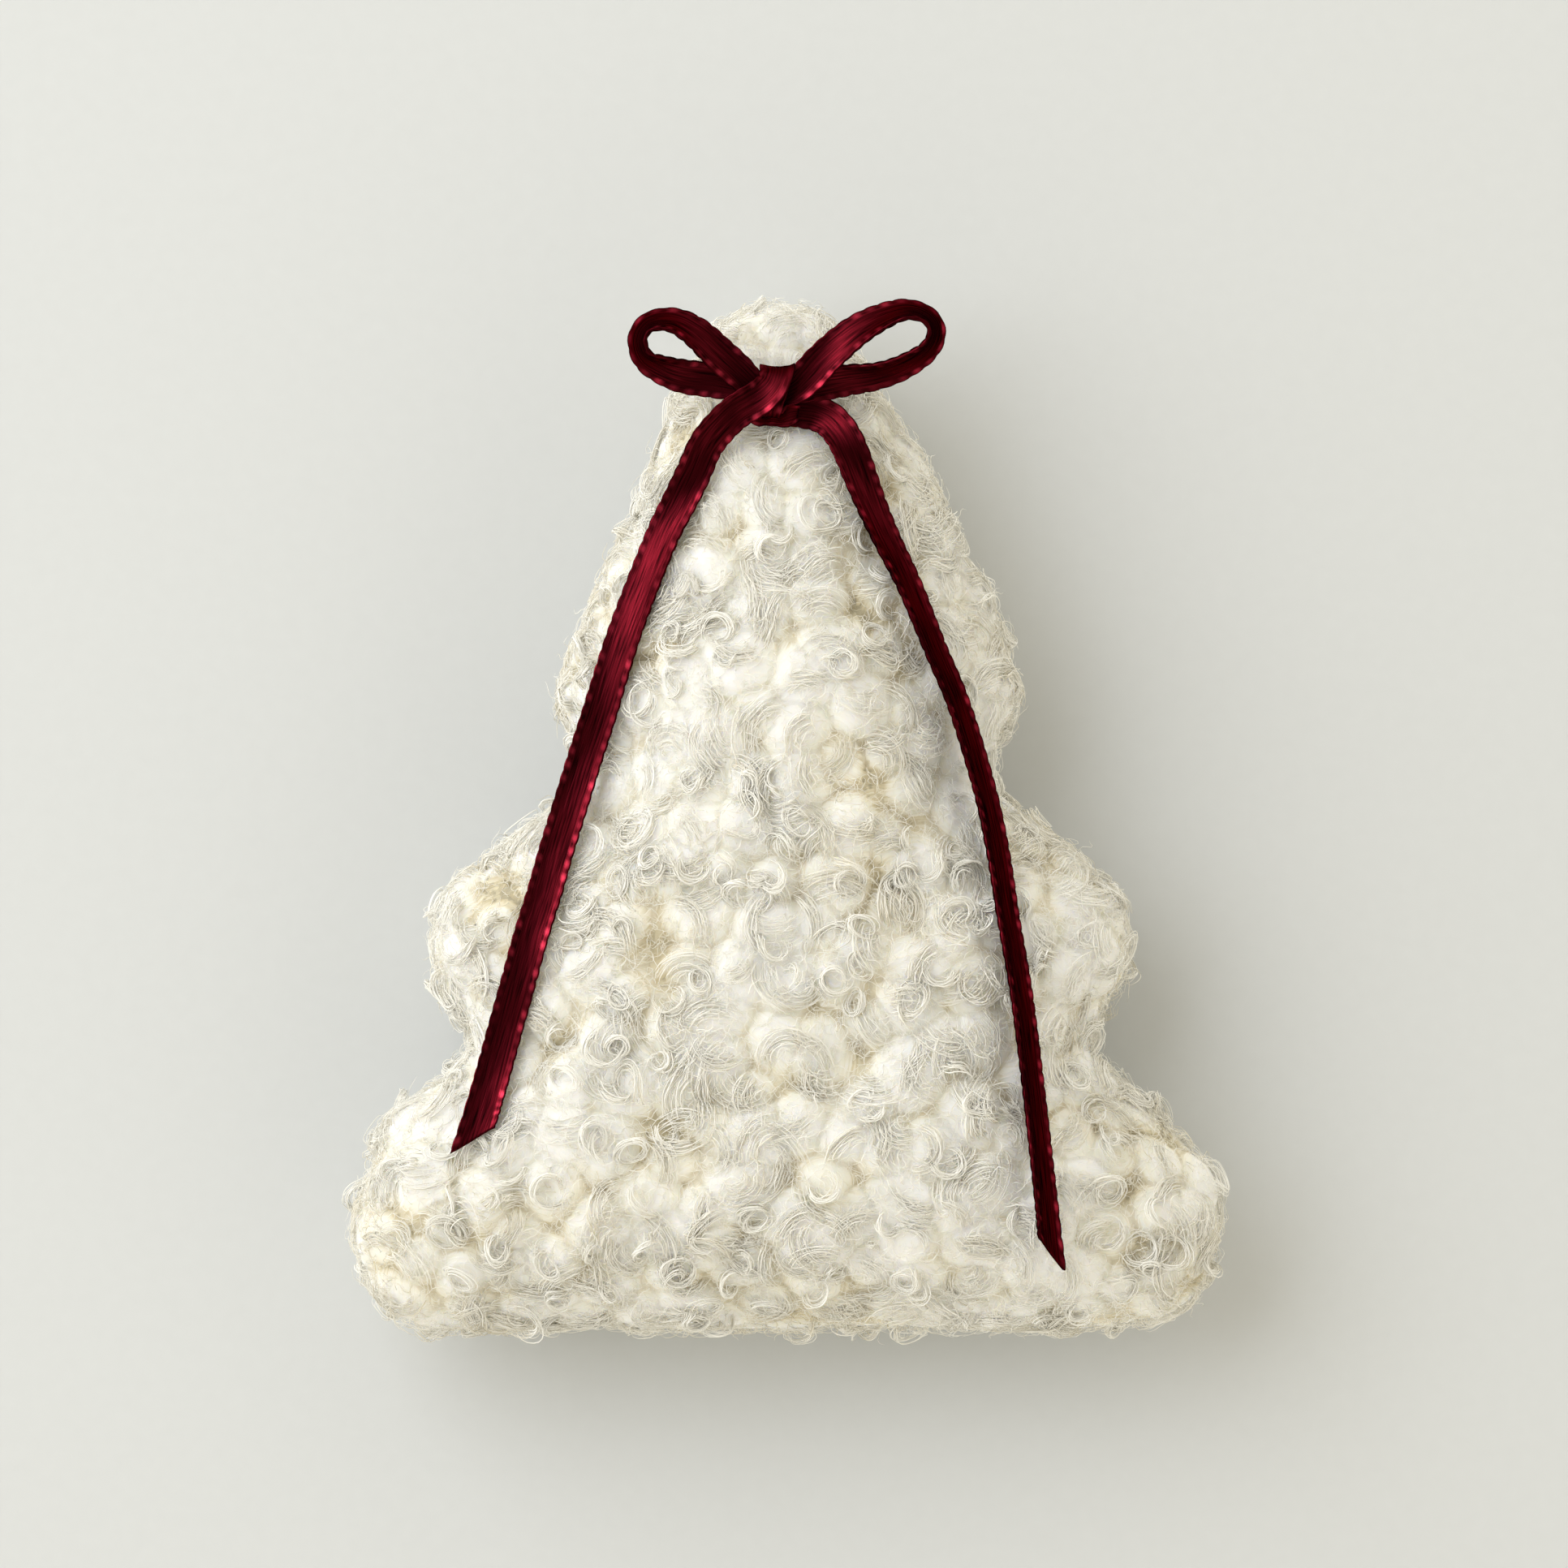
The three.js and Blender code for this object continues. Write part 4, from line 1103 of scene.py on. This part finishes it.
def ribbon_route(points):
    """Even rows along a smooth line through the points: places, leans, width shares and lengths walked."""
    samples = 24
    given = np.array(points, float)
    given[:, :3] *= MM
    given[:, 3] = np.radians(given[:, 3])
    padded = np.concatenate([2 * given[:1] - given[1:2], given, 2 * given[-1:] - given[-2:-1]])
    fine = []
    for i in range(len(given) - 1):
        a, b, c, d = padded[i:i + 4]
        t = np.linspace(0, 1, samples, endpoint=False)[:, None]
        fine.append(0.5 * (2 * b + (c - a) * t + (2 * a - 5 * b + 4 * c - d) * t ** 2
                           + (3 * b - a - 3 * c + d) * t ** 3))
    fine = np.concatenate(fine + [given[-1:]])
    walked = np.concatenate([[0], np.cumsum(np.linalg.norm(np.diff(fine[:, :3], axis=0), axis=1))])
    rows = np.linspace(0, walked[-1], max(2, round(walked[-1] / ROW_STEP)))
    even = np.stack([np.interp(rows, walked, fine[:, k]) for k in range(fine.shape[1])], 1)
    return even[:, :3], even[:, 3], even[:, 4], rows


def ribbon_mesh(name, ribbon, route, bend_side, slant=0.0):
    """A woven ribbon along a route: flat satin between two beaded edges, cut at a slant at the far end."""
    centre, lean, share, walked = route
    along = unit(np.gradient(centre, axis=0))
    level = unit(np.stack([-along[:, 1], along[:, 0], np.zeros(len(along))], 1)) * bend_side
    across = level * np.cos(lean)[:, None] + np.array([0, 0, 1.0]) * np.sin(lean)[:, None]
    across = unit(across - along * (across * along).sum(1, keepdims=True))
    face = np.cross(along, across)
    face = face * np.sign(face[:, 2:3] + TINY)
    return ribbon_skin(name, ribbon, (centre, along, across, face, share, walked), slant)


def ribbon_skin(name, ribbon, rows, slant, endless=False):
    """The ribbon's mesh from its rows: their places, three directions, width shares and lengths walked."""
    edge_from, edge_to = 0.72, 0.93
    roundness, pinch = 0.6, 0.3
    cup_depth, slant_run = 0.12 * MM, 5 * MM
    centre, along, across, face, share, walked = rows
    places = np.sin(np.linspace(-math.pi / 2, math.pi / 2, COLUMNS))
    places = np.concatenate([places, places[::-1][1:-1]])
    side = np.concatenate([np.ones(COLUMNS), -np.ones(COLUMNS - 2)])
    side[[0, COLUMNS - 1]] = 0
    at_edge = smoothstep(edge_from, edge_to, np.abs(places))
    thin = ribbon.thickness + (ribbon.edge_thickness - ribbon.thickness) * at_edge
    bead = np.abs(np.sin(math.pi * walked / ribbon.edge_pitch)) ** roundness
    half = ribbon.width / 2 * share
    reach = half[:, None] * places[None] + np.sign(places) * ribbon.edge_scallop * bead[:, None] * at_edge
    depth = side * thin / 2 * (1 - pinch * at_edge * (1 - bead[:, None]))
    cup = cup_depth * (places ** 2)[None] * share[:, None]
    near_end = smoothstep(walked[-1] - slant_run, walked[-1], walked)
    skew = slant / 2 * near_end[:, None] * places[None]
    points = (centre[:, None] + across[:, None] * reach[..., None] + face[:, None] * (depth + cup)[..., None]
              + along[:, None] * skew[..., None])
    index = np.arange(reach.size).reshape(reach.shape)
    mesh = mesh_from(name, points.reshape(-1, 3), *ribbon_faces(index, endless))
    weave = np.stack(np.broadcast_arrays(walked[:, None], reach), -1).reshape(-1, 2)
    layer = mesh.uv_layers.new(name="weave", do_init=False)
    order = np.empty(len(mesh.loops), np.int32)
    mesh.loops.foreach_get("vertex_index", order)
    layer.uv.foreach_set("vector", weave[order].astype(np.float32).ravel())
    # Painted glints along the edges, for the material to read.
    store(mesh, "weft_turn", painted_edge_glint(places, bead, np.floor(walked / ribbon.edge_pitch)).ravel())
    return face_out(mesh)


def ribbon_faces(index, endless):
    """Four-sided and three-sided faces of a ribbon, which runs round in a ring or is closed at both ends."""
    if endless:
        near, far = index, np.roll(index, -1, axis=0)
    else:
        near, far = index[:-1], index[1:]
    quads = np.stack([near, np.roll(near, -1, 1), np.roll(far, -1, 1), far], -1).reshape(-1, 4)
    if endless:
        return quads, ()
    last_column = COLUMNS - 1
    mirror = np.concatenate([[0], np.arange(2 * last_column - 1, last_column, -1), [last_column]])
    top, low = index[:, :COLUMNS], index[:, mirror]
    first = np.stack([top[0, :-1], low[0, :-1], low[0, 1:], top[0, 1:]], -1)
    last = np.stack([top[-1, :-1], top[-1, 1:], low[-1, 1:], low[-1, :-1]], -1)
    ends = np.concatenate([first, last])
    flat = (ends[:, 0] == ends[:, 1]) | (ends[:, 2] == ends[:, 3])
    corners = [[f[0], f[2], f[3]] if f[0] == f[1] else [f[0], f[1], f[2]] for f in ends[flat]]
    return np.concatenate([quads, ends[~flat]]), corners


def painted_edge_glint(places, bead, number):
    """Painted glints on the weft's turns: how bright each point is, as dots just inside the edges, some of
    them brighter.
    """
    inner_from, inner_to, outer_from, outer_to = 0.62, 0.78, 0.86, 0.97
    dot_sharpness, dimmest = 5, 0.1
    stride, other_edge, scramble = 12.9898, 4.1, 43758.5453  # numbers without a pattern, for an even shuffle
    bright = (np.sin(number[:, None] * stride + np.sign(places) * other_edge) * scramble) % 1
    inset = smoothstep(inner_from, inner_to, np.abs(places))
    inset = inset * (1 - smoothstep(outer_from, outer_to, np.abs(places)))
    return inset * bead[:, None] ** dot_sharpness * (dimmest + (1 - dimmest) * bright ** 2)


def face_out(mesh):
    """Turns a closed mesh's faces outwards if they point in."""
    points = points_of(mesh)
    volume = sum(
        float(np.dot(points[f.vertices[0]], np.cross(points[f.vertices[i]], points[f.vertices[i + 1]])))
        for f in mesh.polygons for i in range(1, len(f.vertices) - 1))
    if volume < 0:
        mesh.flip_normals()
    return mesh


def tie_bow(settings, material):
    """The wrap of the knot, and the loops on each side of it."""
    ribbon = settings.ribbon
    for name, node, body, points, knot_edge, side in (
            ("ribbon_loop_left", "bow_loop_left", "left_loop", LOOP_LEFT, KNOT_LOW, -1),
            ("ribbon_loop_right", "bow_loop_right", "right_loop", LOOP_RIGHT, KNOT_HIGH, 1)):
        mouth = np.array([knot_edge.x + side * LOOP_MOUTH, KNOT.y, KNOT.z])
        centre, lean, share, walked = ribbon_route(points)
        route = (centre + mouth, lean, share, walked)
        loop = link_object(name, ribbon_mesh(name, ribbon, route, -side), material)
        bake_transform(loop)
        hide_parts(node)
    wrap = ribbon_ring(KNOT, (KNOT_HIGH - KNOT_LOW) / 2)
    for mesh in (
            ribbon_skin("ribbon_knot", ribbon, wrap, 0.0, endless=True),
            ribbon_mesh("ribbon_knot_fold", ribbon, ribbon_route(KNOT_FOLD), 1)):
        knot = link_object(mesh.name, mesh, material)
        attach(knot, TREE)
        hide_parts("bow_knot")


def ribbon_ring(middle, half):
    """One turn of ribbon round the knot: places, directions, width shares and lengths walked."""
    rows = 96
    square = 0.75
    lean, aside = 0.3, 0.4 * MM
    width_share = 0.85
    turn = np.linspace(0, 2 * math.pi, rows, endpoint=False)
    y = half.y * np.sign(np.cos(turn)) * np.abs(np.cos(turn)) ** square
    z = half.z * np.sign(np.sin(turn)) * np.abs(np.sin(turn)) ** square
    centre = np.array(middle) + np.stack([lean * y - aside, y, z], 1)
    along = unit(np.roll(centre, -1, 0) - np.roll(centre, 1, 0))
    face = unit(np.stack([np.zeros(rows), y / half.y ** 2, z / half.z ** 2], 1))
    across = unit(np.cross(along, face))
    face = np.cross(across, along)
    walked = np.concatenate([[0], np.cumsum(np.linalg.norm(np.diff(centre, axis=0), axis=1))])
    return centre, along, across, face, np.full(rows, width_share), walked


def lay_tails(settings, material):
    """The long free ends of the ribbon, laid down the front."""
    for name, node, body, points, root, slant in (
            ("ribbon_tail_left", "bow_tail_left", "left_tail", TAIL_LEFT, 5, CUT_LEFT),
            ("ribbon_tail_right", "bow_tail_right", "right_tail", TAIL_RIGHT, 0, CUT_RIGHT)):
        route = ribbon_route(points)
        tail = link_object(name, ribbon_mesh(name, settings.ribbon, route, 1, slant), material)
        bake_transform(tail)
        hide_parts(node)


# Stage

# Place of the window and what its lamps are aimed at (m).
WINDOW = Vector((-0.6, 0.36, 0.67))
LAMP_AIM = Vector((0, 0, 0.01))
# Light of the room: shares of the way up from level to straight above, and of the full strength there.
ROOM_LIGHT = ((0.0, 0.95), (0.35, 1.0), (0.62, 0.95), (0.9, 0.2))


def lay_table(stage):
    """The pale table that the ornament lies on."""
    reach = 0.9
    mesh = bpy.data.meshes.new("table")
    corners = [(-reach, -reach, 0), (reach, -reach, 0), (reach, reach, 0), (-reach, reach, 0)]
    mesh.from_pydata(corners, [], [(0, 1, 2, 3)])
    link_object("table", mesh, table_paint(stage))


def hang_lamp(scene, name, shape, size, power):
    """A lamp in the window, aimed at the ornament."""
    light = bpy.data.lights.new(name, "AREA")
    light.energy = power
    light.shape = shape
    light.size = size
    lamp = bpy.data.objects.new(name, light)
    scene.collection.objects.link(lamp)
    lamp.location = WINDOW
    lamp.rotation_euler = (LAMP_AIM - WINDOW).to_track_quat("-Z", "Y").to_euler()
    return lamp


def light_room(scene, stage):
    """A wide cool window, a small lamp that only glossy surfaces see, and warm soft light from around."""
    window_size, reflector_size = 1.0, 0.24
    window = hang_lamp(scene, "window", "SQUARE", window_size, stage.key_power)
    window.data.color = linear("#f5f9ff")
    reflector = hang_lamp(scene, "reflector", "DISK", reflector_size, stage.gloss_power)
    reflector.visible_diffuse = False
    world = bpy.data.worlds.new("room")
    world.use_nodes = True
    scene.world = world
    tree = world.node_tree
    place = add_node(tree, "ShaderNodeTexCoord")
    height = add_node(tree, "ShaderNodeSeparateXYZ", links={"Vector": place.outputs["Generated"]})
    warm = linear("#f9f2e0")
    stops = [(rise, dimmed(warm, share)) for rise, share in ROOM_LIGHT]
    sky = tree.nodes["Background"]
    sky.inputs["Strength"].default_value = stage.fill
    tree.links.new(coloured(tree, height.outputs["Z"], stops), sky.inputs["Color"])


def set_camera(scene, stage):
    """A camera that looks straight down from far above, as the photograph does."""
    camera = bpy.data.cameras.new("camera")
    camera.sensor_width = 36
    camera.lens = camera.sensor_width * (stage.camera_height - SEAM_Z) / stage.frame_width
    camera.clip_start = 0.01
    eye = bpy.data.objects.new("camera", camera)
    scene.collection.objects.link(eye)
    eye.location = (stage.centre_x, stage.centre_y, stage.camera_height)
    scene.camera = eye


# Operators

class ORNAMENT_OT_panels(bpy.types.Operator):
    """Sew the front and back panels"""

    bl_idname = "ornament.panels"
    bl_label = "Cloth Panels"

    def execute(self, context):
        sew_cloth(context.scene.ornament)
        return {"FINISHED"}


class ORNAMENT_OT_filling(bpy.types.Operator):
    """Fill the panels with loose fibre"""

    bl_idname = "ornament.filling"
    bl_label = "Filling"

    def execute(self, context):
        fill_body()
        return {"FINISHED"}


class ORNAMENT_OT_threads(bpy.types.Operator):
    """Finish the seam, closing and tacking threads"""

    bl_idname = "ornament.threads"
    bl_label = "Threads"

    def execute(self, context):
        pale = spun_thread("spun_polyester_thread", "#f1eee4")
        dark = spun_thread("spun_polyester_thread_red", "#4f0b19")
        for node, material in (("seam_thread", pale), ("closing_thread", pale), ("bow_stitch", dark)):
            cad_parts[node].material_slots[0].material = material
        return {"FINISHED"}


class ORNAMENT_OT_pile(bpy.types.Operator):
    """Grow the curly pile over the panels, which are sewn before it"""

    bl_idname = "ornament.pile"
    bl_label = "Pile"

    def execute(self, context):
        if Body.tree is None:
            raise RuntimeError("The panels are sewn before the pile grows on them")
        grow_pile(context.scene.ornament)
        return {"FINISHED"}


class ORNAMENT_OT_tails(bpy.types.Operator):
    """Lay the ribbon's long ends down the front"""

    bl_idname = "ornament.tails"
    bl_label = "Ribbon Tails"

    def execute(self, context):
        settings = context.scene.ornament
        lay_tails(settings, satin_of(settings))
        return {"FINISHED"}


class ORNAMENT_OT_bow(bpy.types.Operator):
    """Tie the knot and the loops of the bow"""

    bl_idname = "ornament.bow"
    bl_label = "Ribbon Bow"

    def execute(self, context):
        settings = context.scene.ornament
        tie_bow(settings, satin_of(settings))
        return {"FINISHED"}


class ORNAMENT_OT_stage(bpy.types.Operator):
    """Set the floor, the lamps and the camera"""

    bl_idname = "ornament.stage"
    bl_label = "Stage"

    def execute(self, context):
        scene = context.scene
        stage = scene.ornament.stage
        lay_table(stage)
        light_room(scene, stage)
        set_camera(scene, stage)
        scene.view_settings.view_transform = "Standard"
        return {"FINISHED"}


OPERATORS = (
    ORNAMENT_OT_stage, ORNAMENT_OT_tails, ORNAMENT_OT_bow, ORNAMENT_OT_panels, ORNAMENT_OT_filling,
    ORNAMENT_OT_threads, ORNAMENT_OT_pile,
)


class ORNAMENT_PT_panel(bpy.types.Panel):
    """Sidebar panel of the ornament"""

    bl_label = "Ornament"
    bl_idname = "ORNAMENT_PT_panel"
    bl_space_type = "VIEW_3D"
    bl_region_type = "UI"
    bl_category = "Ornament"

    def draw(self, context):
        settings = context.scene.ornament
        for operator in OPERATORS:
            self.layout.operator(operator.bl_idname)
        for group in (settings.pile, settings.ribbon, settings.stage):
            box = self.layout.box()
            for name in group.__annotations__:
                box.prop(group, name)


CLASSES = (PileSettings, RibbonSettings, StageSettings, OrnamentSettings, *OPERATORS, ORNAMENT_PT_panel)


def register():
    for kind in CLASSES:
        bpy.utils.register_class(kind)
    bpy.types.Scene.ornament = PointerProperty(type=OrnamentSettings)


def unregister():
    del bpy.types.Scene.ornament
    for kind in reversed(CLASSES):
        bpy.utils.unregister_class(kind)


def main():
    """Builds the ornament on its stage."""
    register()
    bpy.ops.ornament.stage()
    bpy.ops.ornament.tails()
    bpy.ops.ornament.bow()
    bpy.ops.ornament.panels()
    bpy.ops.ornament.filling()
    bpy.ops.ornament.threads()
    bpy.ops.ornament.pile()


if __name__ == "__main__":
    main()
